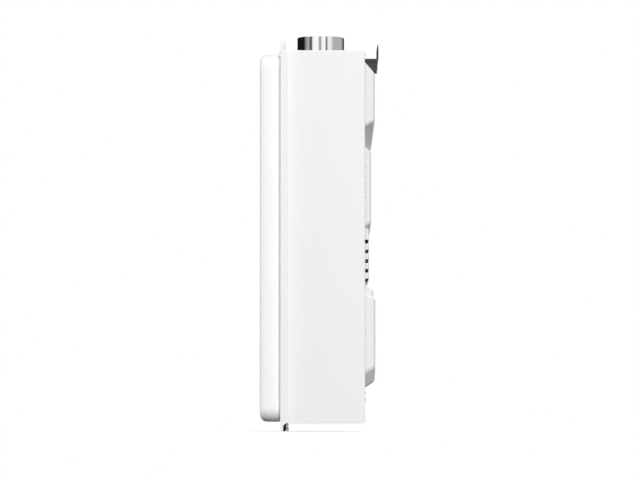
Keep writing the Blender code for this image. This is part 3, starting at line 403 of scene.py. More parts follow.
case = block("case_wrap", (-CASE_HALF, CASE_HALF), (CASE_FRONT, CASE_REAR), (CASE_BASE, CASE_TOP))
round_edges(case, 2.6, 6, lambda at, way: abs(way.y) > 0.9 and at.z > CASE_TOP - 1)
pick(case, "FACE", lambda at, way: way.y > 0.9995)
bpy.ops.mesh.region_to_loop()
bpy.ops.mesh.bevel(offset=0.0011, segments=4, affect="EDGES")
inside = block("inside", (SHEET - CASE_HALF, CASE_HALF - SHEET), (CASE_FRONT - 5.0, CASE_REAR - SHEET),
               (CASE_BASE - 5.0, CASE_TOP - SHEET))
round_edges(inside, 1.4, 4, lambda at, way: abs(way.y) > 0.9 and at.z > CASE_TOP - 3)
combine(case, inside)
rear_way = block("rear_way", (-150.0, 150.0), (CASE_REAR - 10.0, CASE_REAR + 5.0), (CASE_BASE - 5.0, 601.1))
round_edges(rear_way, 4.0, 5, lambda at, way: abs(way.y) > 0.9 and at.z > CASE_TOP - 15)
combine(case, rear_way)
drill(case, 35.0, 20.0, (0, COLLAR_Y, CASE_TOP))
take(case, "EDIT")
heart = mm(0, CASE_REAR - CORNER, CASE_BASE + CORNER)
for turn in (22.5, 45.0, 67.5):
    away = Vector((0.0, math.cos(math.radians(turn)), -math.sin(math.radians(turn))))
    bpy.ops.mesh.select_all(action="SELECT")
    bpy.ops.mesh.bisect(plane_co=heart + away * (CORNER / 1000), plane_no=away, clear_outer=True,
                        use_fill=True)
fit(case, WHITE_COAT, "case_shell")

# Back panel. Pressed from one sheet of the same white coated steel, with four hollow bosses that stand
# out towards the wall: upper, middle, vent and a stepped lower one. The vent boss is slotted at both
# sides, and the sheet is held by screws and rivets along the case's rear edge.
PANEL_FRONT, PANEL_REAR = -26.1, -24.9
UPPER = ((118.0, 599.6), (118.0, 493.0), (56.0, 460.0)), ((108.0, 580.5), (108.0, 503.0), (53.0, 466.0))
MIDDLE = ((114.0, 461.0), (114.0, 330.0), (72.0, 313.0)), ((107.0, 453.0), (107.0, 337.0), (69.0, 318.0))
VENT = ((111.0, 330.0), (111.0, 243.0), (107.0, 238.5)), ((106.0, 326.0), (106.0, 246.0), (103.0, 242.5))
LOWER = ((117.0, 236.0), (117.0, 120.0), (100.0, 100.0)), ((109.0, 228.0), (109.0, 124.0), (96.0, 108.0))
STEP = ((122.0, 221.0), (122.0, 94.0), (98.0, 70.0)), ((113.0, 215.0), (113.0, 104.0), (92.0, 81.0))


def row_to(piece, near_y, near_h, half, y, h):
    """Moves the row of points at one depth and height to a new half width, depth and height."""
    pick(piece, "VERT", lambda at, way: abs(at.y - near_y) < 0.02 and abs(at.z - near_h) < 0.02)
    widest = max(abs(point.co.x) for point in bmesh.from_edit_mesh(piece.data).verts if point.select) * 1000
    bpy.ops.transform.resize(value=(half / widest, 1.0, 1.0), center_override=(0.0, 0.0, 0.0))
    bpy.ops.transform.translate(value=(0.0, (y - near_y) / 1000, (h - near_h) / 1000))


def press(name, outlines, side_y, foot_y, root, brim=0.0, thin=0.0):
    """One boss: a block narrowed to a six-sided outline and drawn out to the wall. A brim lets its root
    be rounded into the sheet, and thin makes the hollow inside."""
    (top, side, foot), (rear_top, rear_side, rear_foot) = outlines
    half, low, middle, high = side[0] - thin, foot[1] + thin, side[1] + 0.4 * thin, top[1] - thin
    boss = block(name, (-half - brim, half + brim), (root - 3.0, root), (low - brim, high + brim))
    score(boss, (0, 0, 1), middle)
    for y in (root - 3.0, root):
        row_to(boss, y, low - brim, foot[0] - 0.6 * thin + brim, y, low - brim)
    if brim:
        pick(boss, "FACE", lambda at, way: way.y > 0.9)
        bpy.ops.mesh.inset(thickness=brim / 1000)
        heights = sorted({round(point.co.z * 1000 + HANG, 3)
                          for point in bmesh.from_edit_mesh(boss.data).verts if point.select})
        for found, (width, height) in zip(heights, ((foot[0], low), (half, middle), (half, high))):
            row_to(boss, root, found, width, root, height)
    pick(boss, "FACE", lambda at, way: way.y > 0.9 and abs(at.x) < 1.0 and low < at.z < high)
    drawn = side_y - thin
    bpy.ops.mesh.extrude_region_move(TRANSFORM_OT_translate={"value": (0.0, (drawn - root) / 1000, 0.0)})
    row_to(boss, drawn, high, rear_top[0] - thin, drawn, rear_top[1] - thin)
    row_to(boss, drawn, middle, rear_side[0] - thin, drawn, rear_side[1] + 0.4 * thin)
    row_to(boss, drawn, low, rear_foot[0] - 0.6 * thin, foot_y - thin, rear_foot[1] + thin)
    pick(boss, "EDGE", lambda at, way: at.y > root + 0.5)
    bpy.ops.mesh.bevel(offset=(4.0 - thin) / 1000, segments=5, affect="EDGES", clamp_overlap=True)
    if brim:
        pick(boss, "FACE", lambda at, way: at.y > root + 0.3)
        bpy.ops.mesh.region_to_loop()
        bpy.ops.mesh.bevel(offset=0.7 * brim / 1000, segments=4, affect="EDGES", clamp_overlap=True)
    take(boss)
    return boss


panel = block("back_sheet", (-158.8, 158.8), (PANEL_FRONT, PANEL_REAR), (15.0, 610.2))
pressed = [(UPPER, -6.9, -11.4), (MIDDLE, -12.9, -15.4), (VENT, -16.5, -16.5), (LOWER, -9.5, -9.5),
           (STEP, -6.3, -7.0)]
for step, (outlines, side_y, foot_y) in enumerate(pressed):
    combine(panel, press("boss", outlines, side_y, foot_y, PANEL_REAR + 0.02 + 0.01 * step, brim=4.0),
            "UNION")
for step, (outlines, side_y, foot_y) in enumerate(pressed):
    combine(panel, press("hollow", outlines, side_y, foot_y, PANEL_FRONT - 1.0 - 0.01 * step, thin=SHEET))
LOUVRE_TOP, LOUVRE_PITCH = 306.5, 15.7
louvres = []
for side in (-1, 1):
    for step in range(5):
        height = LOUVRE_TOP - LOUVRE_PITCH * step
        louvres.append(block("louvre", (side * 84.3, side * 118.3), (PANEL_REAR + 0.35, -8.1),
                             (height - 3.15, height + 3.15)))
        soften(louvres[-1], 1.0, 3)
take(louvres[0])
for louvre in louvres:
    louvre.select_set(True)
bpy.ops.object.join()
work(panel, "BOOLEAN", operation="DIFFERENCE", solver="EXACT", use_self=True, object=louvres[0])
bpy.data.objects.remove(louvres[0])
fit(panel, WHITE_COAT, "back_panel")

LYING = {"X": (0.0, math.pi / 2, 0.0), "Y": (-math.pi / 2, 0.0, 0.0), "Z": (0.0, 0.0, 0.0)}


def seed(name):
    """A piece of one point at the origin, ready to be drawn out."""
    put_down()
    bpy.ops.mesh.primitive_plane_add(size=0.001)
    piece = bpy.context.object
    piece.name = name
    take(piece, "EDIT")
    bpy.ops.mesh.merge(type="CENTER")
    return piece


def close_up():
    """Joins points that lie together and turns every face of the piece in hand outwards."""
    bpy.ops.mesh.select_all(action="SELECT")
    bpy.ops.mesh.remove_doubles(threshold=1e-6)
    bpy.ops.mesh.normals_make_consistent(inside=False)


def turn_up(name, profile, at, along="Z", steps=48):
    """A turned piece: a line of (radius, length) points drawn out and spun round its axis."""
    piece = seed(name)
    piece.data.name = name
    before = (0.0, 0.0)
    for step, (radius, length) in enumerate(profile):
        move = ((radius - before[0]) / 1000, 0.0, (length - before[1]) / 1000)
        if step == 0:
            bpy.ops.transform.translate(value=move)
        else:
            bpy.ops.mesh.extrude_region_move(TRANSFORM_OT_translate={"value": move})
        before = (radius, length)
    bpy.ops.mesh.select_all(action="SELECT")
    bpy.ops.mesh.spin(steps=steps, angle=math.tau, center=(0.0, 0.0, 0.0), axis=(0.0, 0.0, 1.0))
    close_up()
    take(piece)
    piece.rotation_euler = LYING[along]
    piece.location = mm(*at)
    bpy.ops.object.transform_apply()
    return piece


def rod(name, radius, low, high, at, along, steps=32):
    """A plain round bar, for a post or to cut a hole with."""
    return turn_up(name, ((0.0, low), (radius, low), (radius, high), (0.0, high)), at, along, steps)


def copy_to(piece, name, move=(0.0, 0.0, 0.0), turn=None):
    """A copy with its own mesh, turned about the origin and then moved by millimetres."""
    made = piece.copy()
    made.data = piece.data.copy()
    call(made, name)
    bpy.context.scene.collection.objects.link(made)
    made.data.transform(Matrix.Translation(Vector(move) / 1000) @ (turn or Matrix.Identity(4)))
    return made


def gather(pieces, name):
    """Makes one piece of several."""
    take(pieces[0])
    for piece in pieces:
        piece.select_set(True)
    bpy.ops.object.join()
    return call(pieces[0], name)


def pan_head(radius, height):
    """A screw head at the origin, facing up, with a cross recess and a washer under it."""
    head = turn_up("screw", ((0.0, -0.3), (1.25 * radius, -0.3), (1.25 * radius, 0.25), (radius, 0.3),
                             (radius, 0.45 * height), (0.86 * radius, 0.8 * height), (0.5 * radius, height),
                             (0.0, height)), (0.0, 0.0, HANG), steps=24)
    for turned in (0.0, math.pi / 2):
        put_down()
        bpy.ops.mesh.primitive_cube_add(size=1.0, location=(0.0, 0.0, height / 1000))
        bar = bpy.context.object
        bar.scale = (1.25 * radius / 1000, 0.26 * radius / 1000, 0.9 * height / 1000)
        bar.rotation_euler.z = turned
        bpy.ops.object.transform_apply()
        combine(head, bar)
    return head


TURNS = {"+y": Matrix.Rotation(-math.pi / 2, 4, "X"), "-y": Matrix.Rotation(math.pi / 2, 4, "X"),
         "+z": Matrix.Identity(4)}


def screws(name, radius, height, facing, places):
    """A set of equal screws in zinc plated steel, all facing one way."""
    head = pan_head(radius, height)
    made = [copy_to(head, f"{name}_{step}", (x, y, h - HANG), TURNS[facing])
            for step, (x, y, h) in enumerate(places)]
    bpy.data.objects.remove(head)
    return fit(gather(made, name), ZINC)


ZINC = finish("zinc_plate", "chrome", (0.62, 0.63, 0.65), 0.26, metallic=1.0, fine=1400.0, depth=0.01)
EDGE_X = 155.4
edge_places = [(side * EDGE_X, CASE_REAR, h) for side in (-1, 1) for h in (50.2, 61.5)]
screws("rear_screws", 2.1, 1.3, "+y", edge_places)
rivet_heights = (375.0, 383.5, 398.0, 409.0, 424.0, 444.0)
rivet_places = [(side * EDGE_X, CASE_REAR, h) for side in (-1, 1) for h in rivet_heights]
screws("rear_rivets", 1.2, 0.9, "+y", rivet_places)
top_places = [(x, CASE_REAR, 606.6) for x in (-130.0, -90.0, 90.0, 130.0)]
screws("top_screws", 2.1, 1.3, "+y", top_places)

# Front frame. A steel flange wider and taller than the case, with a large opening in it. Its edges are
# folded back as lips that are mitred where they end, and the opening has a turned-back collar that the
# foam strip and the cover close on.
PLATE_FRONT, PLATE_REAR = -159.1, -157.5
FLANGE_HALF, FLANGE_TOP, LIP_REAR = 175.0, 625.0, -147.9


def rounded_block(name, x, h, y, corner, segments=6):
    """A block whose four edges along y are rounded."""
    made = block(name, x, y, h)
    round_edges(made, corner, segments, lambda at, way: abs(way.y) > 0.9)
    take(made)
    return made


flange = block("flange", (-FLANGE_HALF, FLANGE_HALF), (PLATE_FRONT, PLATE_REAR), (0.0, FLANGE_TOP))
for side in (-1, 1):
    lip = block("lip", (side * 173.4, side * FLANGE_HALF), (PLATE_FRONT + 0.3, LIP_REAR), (0.0, FLANGE_TOP))
    score(lip, (0, 0, 1), 9.5, 14.3, 605.0, 613.0)
    pick(lip, "VERT", lambda at, way: at.y > -148.0 and at.z < 10.0)
    bpy.ops.transform.translate(value=(0.0, -0.0069, 0.0))
    pick(lip, "VERT", lambda at, way: at.y > -148.0 and at.z > 612.0)
    bpy.ops.transform.translate(value=(0.0, -0.0043, 0.0))
    combine(flange, lip, "UNION")
for rear, low, high in ((-152.2, 623.4, FLANGE_TOP), (-154.8, 0.0, 1.6)):
    combine(flange, block("lip", (-174.9, 174.9), (PLATE_FRONT + 0.3, rear), (low, high)), "UNION")
combine(flange, rounded_block("rim", (-137.6, 137.6), (36.4, 587.6), (PLATE_FRONT + 0.4, -150.1), 8.0),
        "UNION")
combine(flange, rounded_block("opening", (-136.0, 136.0), (38.0, 586.0), (-164.0, -145.0), 6.4))
soften(flange, 0.6, 3)
fit(flange, WHITE_COAT, "front_frame")
corner_places = [(side * 152.0, PLATE_FRONT, 608.0) for side in (-1, 1)]
screws("frame_screws", 2.6, 1.6, "-y", corner_places)

# Flue collar. Spun from bright stainless sheet: a straight spigot with a rolled rim, on a flange that
# is screwed to the case's top.
CHROME = finish("bright_steel", "chrome", (0.92, 0.92, 0.93), 0.045, metallic=1.0, drift=0.02, spread=0.03,
                fine=2600.0, depth=0.0006, stretch=(1.0, 1.0, 0.04))
collar = turn_up("flue_spigot", ((37.3, 612.4), (47.0, 612.4), (47.2, 612.7), (47.2, 613.4), (46.8, 613.8),
                                 (41.2, 613.8), (40.2, 613.95), (39.3, 614.4), (38.75, 615.1),
                                 (38.5, 616.2), (38.5, 646.4), (38.42, 647.2), (38.15, 647.8),
                                 (37.8, 648.0), (37.5, 647.8), (37.3, 647.2), (37.3, 612.4)),
                 (0.0, COLLAR_Y, 0.0), steps=128)
fit(collar, CHROME, "flue_collar")
ring_places = [(43.6 * math.cos(turn), COLLAR_Y + 43.6 * math.sin(turn), 613.8)
               for turn in (math.radians(45 + 90 * step) for step in range(4))]
screws("collar_screws", 2.0, 1.3, "+z", ring_places)

# Hanging bracket. A strip of stainless sheet whose colour is painted dark, standing in for the dark
# surroundings it reflects: a plate on the case, a shelf and an upright ear with two keyholes for the wall
# screws. Two slotted gussets stiffen the shelf from below.
# Painted reflection: bright stainless is given a near-black base colour in place of the dark room it
# mirrors.
STEEL_PAINTED_DARK = finish("steel_painted_dark_reflection", "stainless", (0.13, 0.13, 0.135), 0.22, metallic=1.0, spread=0.10,
                    fine=1900.0, depth=0.002, stretch=(0.05, 1.0, 1.0))
HANGER_SPAN, KEYHOLE_X = (-60.0, 60.0), 42.0
strap = block("hanger", HANGER_SPAN, (-23.1, 0.0), (606.7, 608.3))
combine(strap, block("plate", HANGER_SPAN, (-23.1, -21.5), (598.4, 607.5)), "UNION")
combine(strap, block("ear", HANGER_SPAN, (-1.6, 0.0), (607.5, 632.0)), "UNION")
round_edges(strap, 1.4, 5, lambda at, way: abs(way.x) > 0.9 and abs(at.x) < 1.0 and (
    (at.y < -23.0 and at.z > 608.0) or (at.y > -0.1 and at.z < 607.0)))
take(strap)
for side in (-1, 1):
    web = block("gusset", (side * 27.4, side * 29.0), (-22.5, -1.2), (592.3, 607.3))
    pick(web, "VERT", lambda at, way: at.y < -10.0 and at.z < 600.0)
    bpy.ops.transform.translate(value=(0.0, 0.0, 0.0073))
    score(web, (0, 1, 0), -19.0, -6.7)
    pick(web, "VERT", lambda at, way: abs(at.y + 19.0) < 0.1 and at.z < 603.0)
    bpy.ops.transform.resize(value=(1.0, 1.0, 0.0), center_override=mm(0, 0, 599.6))
    pick(web, "VERT", lambda at, way: abs(at.y + 6.7) < 0.1 and at.z < 603.0)
    bpy.ops.transform.resize(value=(1.0, 1.0, 0.0), center_override=mm(0, 0, 592.3))
    combine(strap, web, "UNION")
    combine(strap, block("slot", (side * 20.0, side * 40.0), (-6.2, -2.6), (597.9, 599.8)))
    combine(strap, rod("hole", 5.0, -6.0, 4.0, (side * KEYHOLE_X, 0.0, 615.0), "Y"))
    neck = block("neck", (side * 39.4, side * 44.6), (-6.0, 4.0), (615.0, 625.5))
    round_edges(neck, 2.5, 6, lambda at, way: abs(way.y) > 0.9 and at.z > 620.0)
    combine(strap, neck)
    take(strap, "EDIT")
    slant = Vector((side * 9.0, 0.0, 11.0)).normalized()
    bpy.ops.mesh.bisect(plane_co=mm(side * 61.0, 0, 624.0), plane_no=slant, clear_outer=True, use_fill=True)
take(strap)
soften(strap, 0.25, 2, 40.0)
fit(strap, STEEL_PAINTED_DARK, "hanging_bracket")

# Bottom panel. A coated steel pan that closes the case from below, with its sides turned up against the
# case and round holes for the three pipes and the drain.
FITTING_Y, DRAIN_Y, PITCH = -87.0, -150.2, 100.0
pan = block("floor_pan", (-159.5, 159.5), (CASE_FRONT, -26.4), (CASE_BASE, 28.0))
round_edges(pan, 1.5, 4, lambda at, way: abs(way.y) > 0.9 and at.z < CASE_BASE + 1)
combine(pan, block("inside", (-158.3, 158.3), (-162.0, -20.0), (CASE_BASE + SHEET, 40.0)))
for x, y, radius in ((-PITCH, FITTING_Y, 16.5), (0.0, FITTING_Y, 16.5), (PITCH, FITTING_Y, 16.5),
                     (PITCH, DRAIN_Y, 5.6)):
    drill(pan, radius, 10.0, (x, y, CASE_BASE))
soften(pan, 0.25, 2, 40.0)
fit(pan, WHITE_COAT, "bottom_panel")

# Pipe fittings. Three brass sockets with a hexagon to hold them by and a pipe thread inside the mouth,
# for cold water, gas and hot water. They stand in the bottom panel's holes.
BRASS = finish("machined_brass", "brass", (0.78, 0.57, 0.24), 0.24, metallic=1.0, fine=2200.0, depth=0.003,
               stretch=(1.0, 1.0, 0.05))
thread = [(9.3 + 0.8 * (step % 2), 14.4 + 0.9 * step) for step in range(20)]
union = turn_up("union", [(9.3, 13.6), (14.8, 13.6), (15.5, 14.2), (15.5, 34.0), (14.7, 34.8), (14.7, 36.2),
                          (15.5, 37.0), (15.5, 49.2), (14.9, 49.8), (7.0, 49.8), (6.5, 49.3), (6.5, 33.0),
                          (9.3, 33.0)] + thread[::-1] + [(9.3, 13.6)], (0.0, FITTING_Y, 0.0), steps=64)
nut = turn_up("nut", ((15.0, 14.8), (17.6, 14.8), (18.5, 15.6), (18.5, 29.2), (17.6, 30.0), (15.0, 30.0),
                      (15.0, 14.8)), (0.0, FITTING_Y, 0.0), steps=6)
union = gather([union, nut], "gas_union")
for name, x, node in (("cold_union", PITCH, "cold_inlet_fitting"),
                      ("hot_union", -PITCH, "hot_outlet_fitting")):
    fit(copy_to(union, name, (x, 0.0, 0.0)), BRASS, node)
fit(union, BRASS, "gas_inlet_fitting")

# Flow sensor. A black moulded sleeve on the cold fitting, with a pocket for the pick-up in front. A small
# turbine spins in it on two webs.
BLACK = finish("black_nylon", "black_plastic", (0.024, 0.025, 0.027), 0.42, drift=0.25, spread=0.14,
               fine=1500.0)
GREY = finish("grey_nylon", "grey_plastic", (0.40, 0.41, 0.42), 0.40, drift=0.08, fine=1600.0)
sleeve = turn_up("sleeve", ((11.5, 50.2), (16.6, 50.2), (17.0, 50.6), (17.0, 53.7), (15.0, 56.0),
                            (15.0, 60.0), (15.6, 60.4), (15.6, 61.6), (15.0, 62.0), (15.0, 84.0),
                            (15.6, 84.4), (15.6, 85.6), (15.0, 86.0), (15.0, 90.0), (17.0, 92.3),
                            (17.0, 95.8), (16.6, 96.2), (11.5, 96.2), (11.5, 50.2)),
                 (PITCH, FITTING_Y, 0.0), steps=48)
pocket = block("pocket", (PITCH - 8.0, PITCH + 8.0), (FITTING_Y - 23.0, FITTING_Y - 13.0), (64.0, 82.0))
soften(pocket, 1.2, 4)
webs = [block("web", (PITCH - 12.0, PITCH + 12.0), (FITTING_Y - 1.6, FITTING_Y + 1.6), (h, h + 3.0))
        for h in (56.0, 88.0)]
fit(gather([sleeve, pocket] + webs, "flow_sleeve"), BLACK, "flow_sensor_body")


def refine(node, name, width, look, body="heater", angle=30.0):
    """A copy of a plain node with its triangles merged into faces and its edges rounded."""
    made = bpy.data.objects.new(name, bpy.data.objects[node].data.copy())
    made.data.name = name
    bpy.context.scene.collection.objects.link(made)
    take(made, "EDIT")
    bpy.ops.mesh.remove_doubles(threshold=1e-6)
    bpy.ops.mesh.dissolve_limited(angle_limit=math.radians(1.0))
    take(made)
    if width:
        soften(made, width, 2, angle)
    return fit(made, look, node, body=body)


refine("flow_turbine", "turbine_wheel", 0.0, GREY, "turbine")

# Drain. A brass branch from the cold water way runs forwards and down, and a plated plug with a hexagon
# and a grip ring closes it from below.
NICKEL = finish("plated_brass", "chrome", (0.50, 0.50, 0.51), 0.20, metallic=1.0, fine=1800.0, depth=0.004)
stub = turn_up("drain_arm", ((3.2, 14.8), (5.4, 14.8), (5.8, 15.2), (5.8, 33.4), (5.2, 34.0), (0.0, 34.0),
                             (0.0, 31.0), (3.2, 31.0), (3.2, 14.8)), (PITCH, DRAIN_Y, 0.0), steps=40)
arm = rod("arm", 4.6, 0.0, 34.0, (PITCH, DRAIN_Y + 3.4, 27.0), "Y")
saddle = block("saddle", (PITCH - 5.0, PITCH + 5.0), (-117.0, -110.3), (22.0, 78.0))
soften(saddle, 1.0, 3)
fit(gather([stub, arm, saddle], "drain_arm"), BRASS, "drain_branch")
shank = [(2.8 - 0.35 * (step % 2), 14.0 + 0.7 * step) for step in range(18)]
plug = turn_up("plug", [(0.0, 0.8), (3.9, 0.8), (4.3, 1.2), (4.3, 4.9), (3.9, 5.3), (3.4, 5.8), (3.4, 13.0),
                        (2.8, 13.3)] + shank + [(2.3, 27.0), (0.0, 27.0)], (PITCH, DRAIN_Y, 0.0), steps=40)
grip = turn_up("grip", ((3.0, 6.4), (4.1, 6.4), (4.3, 6.7), (4.3, 12.1), (4.1, 12.4), (3.0, 12.4),
                        (3.0, 6.4)), (PITCH, DRAIN_Y, 0.0), steps=6)
fit(gather([plug, grip], "drain_cap"), NICKEL, "drain_plug", body="drain")

# Burner. A galvanised tray hangs on a rail across the case and holds seven stainless bars. Each bar has a
# throat for its gas jet, a narrow neck and a head with flame slots.
GALVANISED = finish("galvanised_sheet", "galvanised", (0.60, 0.62, 0.64), 0.36, metallic=0.9, spread=0.16,
                    fine=1300.0, depth=0.006)
nodes, links = GALVANISED[0].node_tree.nodes, GALVANISED[0].node_tree.links
flakes = add(nodes, "TexVoronoi", Scale=240.0)
links.new(add(nodes, "TexCoord").outputs["Object"], flakes.inputs["Vector"])
flake_value = add(nodes, "MapRange", To_Min=0.86, To_Max=1.08)
links.new(flakes.outputs["Color"], flake_value.inputs["Value"])
flake_tint = add(nodes, "Mix")
flake_tint.data_type = "RGBA"
flake_tint.blend_type = "MULTIPLY"
flake_tint.inputs["Factor"].default_value = 1.0
links.new(nodes["skin"].outputs["Colour"], flake_tint.inputs["A"])
links.new(flake_value.outputs["Result"], flake_tint.inputs["B"])
links.new(flake_tint.outputs["Result"], nodes["Principled BSDF"].inputs["Base Color"])
BRIGHT_SHEET = finish("brushed_stainless", "stainless", (0.66, 0.66, 0.67), 0.27, metallic=1.0, drift=0.08,
                      fine=2400.0, depth=0.003, stretch=(1.0, 1.0, 0.04))
refine("burner_tray", "burner_box", 0.3, GALVANISED)
bar = block("bar_head", (-7.5, 7.5), (-130.0, -54.0), (231.0, 245.0))
soften(bar, 1.4, 4)
throat = block("throat", (-6.5, 6.5), (-126.0, -58.0), (193.0, 232.0))
score(throat, (0, 0, 1), 207.0, 216.0, 226.0)
pick(throat, "VERT", lambda at, way: 215.0 < at.z < 227.0)
bpy.ops.transform.resize(value=(0.385, 1.0, 1.0), center_override=(0.0, 0.0, 0.0))
take(throat)
soften(throat, 0.8, 3)
combine(bar, throat, "UNION")
flame_slots = []
for step in range(15):
    y = -127.0 + 5.0 * step
    flame_slots.append(block("flame_slot", (-5.6, 5.6), (y - 0.9, y + 0.9), (239.0, 248.0)))
combine(bar, gather(flame_slots, "flame_slots"))
combine(bar, rod("jet_way", 4.6, -135.0, -100.0, (0.0, 0.0, 200.0), "Y"))
BAR_PITCH = 27.0
for step in range(7):
    place = (step - 3) * BAR_PITCH
    fit(copy_to(bar, f"flame_bar_{step + 1}", (place, 0.0, 0.0)), BRIGHT_SHEET, f"burner_bar_{step + 1}")
bpy.data.objects.remove(bar)

# Combustion chamber and heat exchanger. Two copper ducts of one outline stand on the tray. The upper one
# holds a pack of thin copper fins with five tube passes through it, joined outside by bends.
COPPER = finish("drawn_copper", "copper", (0.80, 0.42, 0.29), 0.30, metallic=1.0, drift=0.16, spread=0.18,
                fine=1500.0, depth=0.006, stretch=(0.25, 0.25, 1.0))
nodes, links = COPPER[0].node_tree.nodes, COPPER[0].node_tree.links
bloom = add(nodes, "TexNoise", Scale=16.0, Detail=5.0)
links.new(add(nodes, "TexCoord").outputs["Object"], bloom.inputs["Vector"])
patches = add(nodes, "MapRange", From_Min=0.48, From_Max=0.72, To_Max=0.75)
links.new(bloom.outputs[0], patches.inputs["Value"])
darkened = add(nodes, "Mix")
darkened.data_type = "RGBA"
darkened.inputs["B"].default_value = (0.42, 0.17, 0.11, 1.0)
links.new(patches.outputs["Result"], darkened.inputs["Factor"])
links.new(nodes["skin"].outputs["Colour"], darkened.inputs["A"])
links.new(darkened.outputs["Result"], nodes["Principled BSDF"].inputs["Base Color"])
CORE_HALF, CORE_FRONT, CORE_REAR = 100.0, -134.0, -50.0
PORT_X, PORT_H, PASS_H, PASS_END = 18.0, 258.0, 431.0, 107.8
WALL = 1.5


def duct(name, low, high):
    """A rectangular copper duct with rounded corners, open at both ends."""
    outer = block(name, (-CORE_HALF, CORE_HALF), (CORE_FRONT, CORE_REAR), (low, high))
    round_edges(outer, 5.0, 6, lambda at, way: abs(way.z) > 0.9)
    inner = block("inside", (WALL - CORE_HALF, CORE_HALF - WALL), (CORE_FRONT + WALL, CORE_REAR - WALL),
                  (low - 5.0, high + 5.0))
    round_edges(inner, 5.0 - WALL, 6, lambda at, way: abs(way.z) > 0.9)
    combine(outer, inner)
    return outer


chamber = duct("chamber_duct", 248.0, 399.7)
for x in (-PORT_X, PORT_X):
    combine(chamber, rod("port", 4.2, -140.0, -128.0, (x, 0.0, PORT_H), "Y"))
soften(chamber, 0.3, 2, 60.0)
fit(chamber, COPPER, "combustion_chamber")
jacket = duct("exchanger_duct", 400.0, 462.0)
passes = [-124.0 + 16.0 * step for step in range(5)]
for y in passes:
    combine(jacket, rod("way", 6.5, -110.0, 110.0, (0.0, y, PASS_H), "X"))
soften(jacket, 0.3, 2, 60.0)
fit(jacket, COPPER, "exchanger_shell")
FIN_COUNT, FIN_PITCH = 64, 3.078
first_fin = block("fin", (-97.0, -96.6), (-132.1, -51.9), (403.0, 459.3))
soften(first_fin, 0.12, 1, 60.0)
fins = [copy_to(first_fin, f"fin_{step}", (step * FIN_PITCH, 0.0, 0.0)) for step in range(FIN_COUNT)]
bpy.data.objects.remove(first_fin)
tubes = [turn_up("pass", ((0.0, -107.5), (5.2, -107.5), (5.5, -107.2), (5.5, 107.2), (5.2, 107.5),
                          (0.0, 107.5)), (0.0, y, PASS_H), "X", 24) for y in passes]
fit(gather(fins + tubes, "fin_pack"), COPPER, "exchanger_fins")


def pipe(name, corners, bend, radius, look, node):
    """A bent tube: a line through its corners, each rounded to one radius, given a round section."""
    line = seed(name)
    bpy.ops.transform.translate(value=mm(*corners[0]))
    for before, after in zip(corners, corners[1:]):
        bpy.ops.mesh.extrude_region_move(TRANSFORM_OT_translate={"value": mm(*after) - mm(*before)})
    for before, corner, after in zip(corners, corners[1:], corners[2:]):
        turning = (mm(*corner) - mm(*before)).angle(mm(*after) - mm(*corner))
        pick(line, "VERT", lambda at, way: (at - Vector(corner)).length < 0.1)
        bpy.ops.mesh.bevel(offset=bend / 1000 * math.tan(turning / 2), segments=10, affect="VERTICES",
                           offset_type="OFFSET", profile=0.5)
    take(line)
    bpy.ops.object.convert(target="CURVE")
    line = bpy.context.object
    line.data.bevel_depth = radius / 1000
    line.data.bevel_resolution = 6
    line.data.use_fill_caps = True
    bpy.ops.object.convert(target="MESH")
    line = call(bpy.context.object, name)
    take(line, "EDIT")
    close_up()
    return fit(line, look, node)


for step, side in enumerate((-1, 1, -1, 1)):
    near, far, y, next_y = PASS_END * side, 118.0 * side, passes[step], passes[step + 1]
    pipe(f"end_bend_{step + 1}", ((near, y, PASS_H), (far, y, PASS_H), (far, next_y, PASS_H),
                                  (near, next_y, PASS_H)), 7.9, 5.5, COPPER, f"return_bend_{step + 1}")

# Water pipes. One copper pipe climbs from the flow sensor, winds three times round the chamber to keep
# it cool and enters the first pass. A second one brings the hot water down at the left.
wound = [(PITCH, FITTING_Y, 96.6), (PITCH, FITTING_Y, 130.0), (116.0, FITTING_Y, 165.0),
         (116.0, FITTING_Y, 266.0), (107.0, -141.0, 278.0)]
for step in range(12):
    x, y = ((-107.0, -141.0), (-107.0, -43.0), (107.0, -43.0), (107.0, -141.0))[step % 4]
    wound.append((x, y, 287.0 + 9.0 * step))
wound[-2:] = [(122.0, -43.0, 377.0), (122.0, -124.0, 383.0), (122.0, -124.0, PASS_H),
              (PASS_END, -124.0, PASS_H)]
pipe("cold_pipe", wound, 11.0, 6.0, COPPER, "water_coil")
pipe("hot_pipe", ((-PASS_END, -60.0, PASS_H), (-128.0, -60.0, PASS_H), (-128.0, -60.0, 150.0),
                  (-PITCH, FITTING_Y, 110.0), (-PITCH, FITTING_Y, 50.1)), 13.0, 6.0, COPPER,
     "hot_outlet_pipe")

# Fan. A galvanised hood gathers the burnt gas behind a scroll housing, and a squirrel-cage wheel on the
# motor's shaft blows it out through a soft seal to the collar.
refine("flue_hood", "gas_hood", 0.3, BRIGHT_SHEET)
refine("fan_housing", "scroll", 0.0, GALVANISED)
refine("fan_impeller", "cage_wheel", 0.0, GALVANISED, "fan")
refine("fan_shaft", "spindle", 0.3, BRIGHT_SHEET, "fan", 40.0)
RUBBER = finish("grey_foam", "foam", (0.10, 0.10, 0.105), 0.85, drift=0.20, spread=0.08, fine=2600.0,
                depth=0.12)
refine("flue_gasket", "outlet_seal", 0.4, RUBBER)
FAN_X, FAN_H, EAR_REACH = -39.0, 546.0, 31.0
motor = turn_up("motor", ((3.2, -120.3), (29.6, -120.3), (30.0, -120.7), (30.0, -121.9), (29.6, -122.3),
                          (27.4, -122.3), (27.0, -122.7), (27.0, -131.0), (26.4, -131.4), (26.4, -132.4),
                          (27.0, -132.8), (27.0, -143.4), (26.0, -145.4), (24.0, -147.0), (23.2, -147.3),
                          (8.0, -147.3), (7.6, -146.5), (3.2, -146.5), (3.2, -120.3)), (FAN_X, 0.0, FAN_H),
                "Y", 64)
vents = []
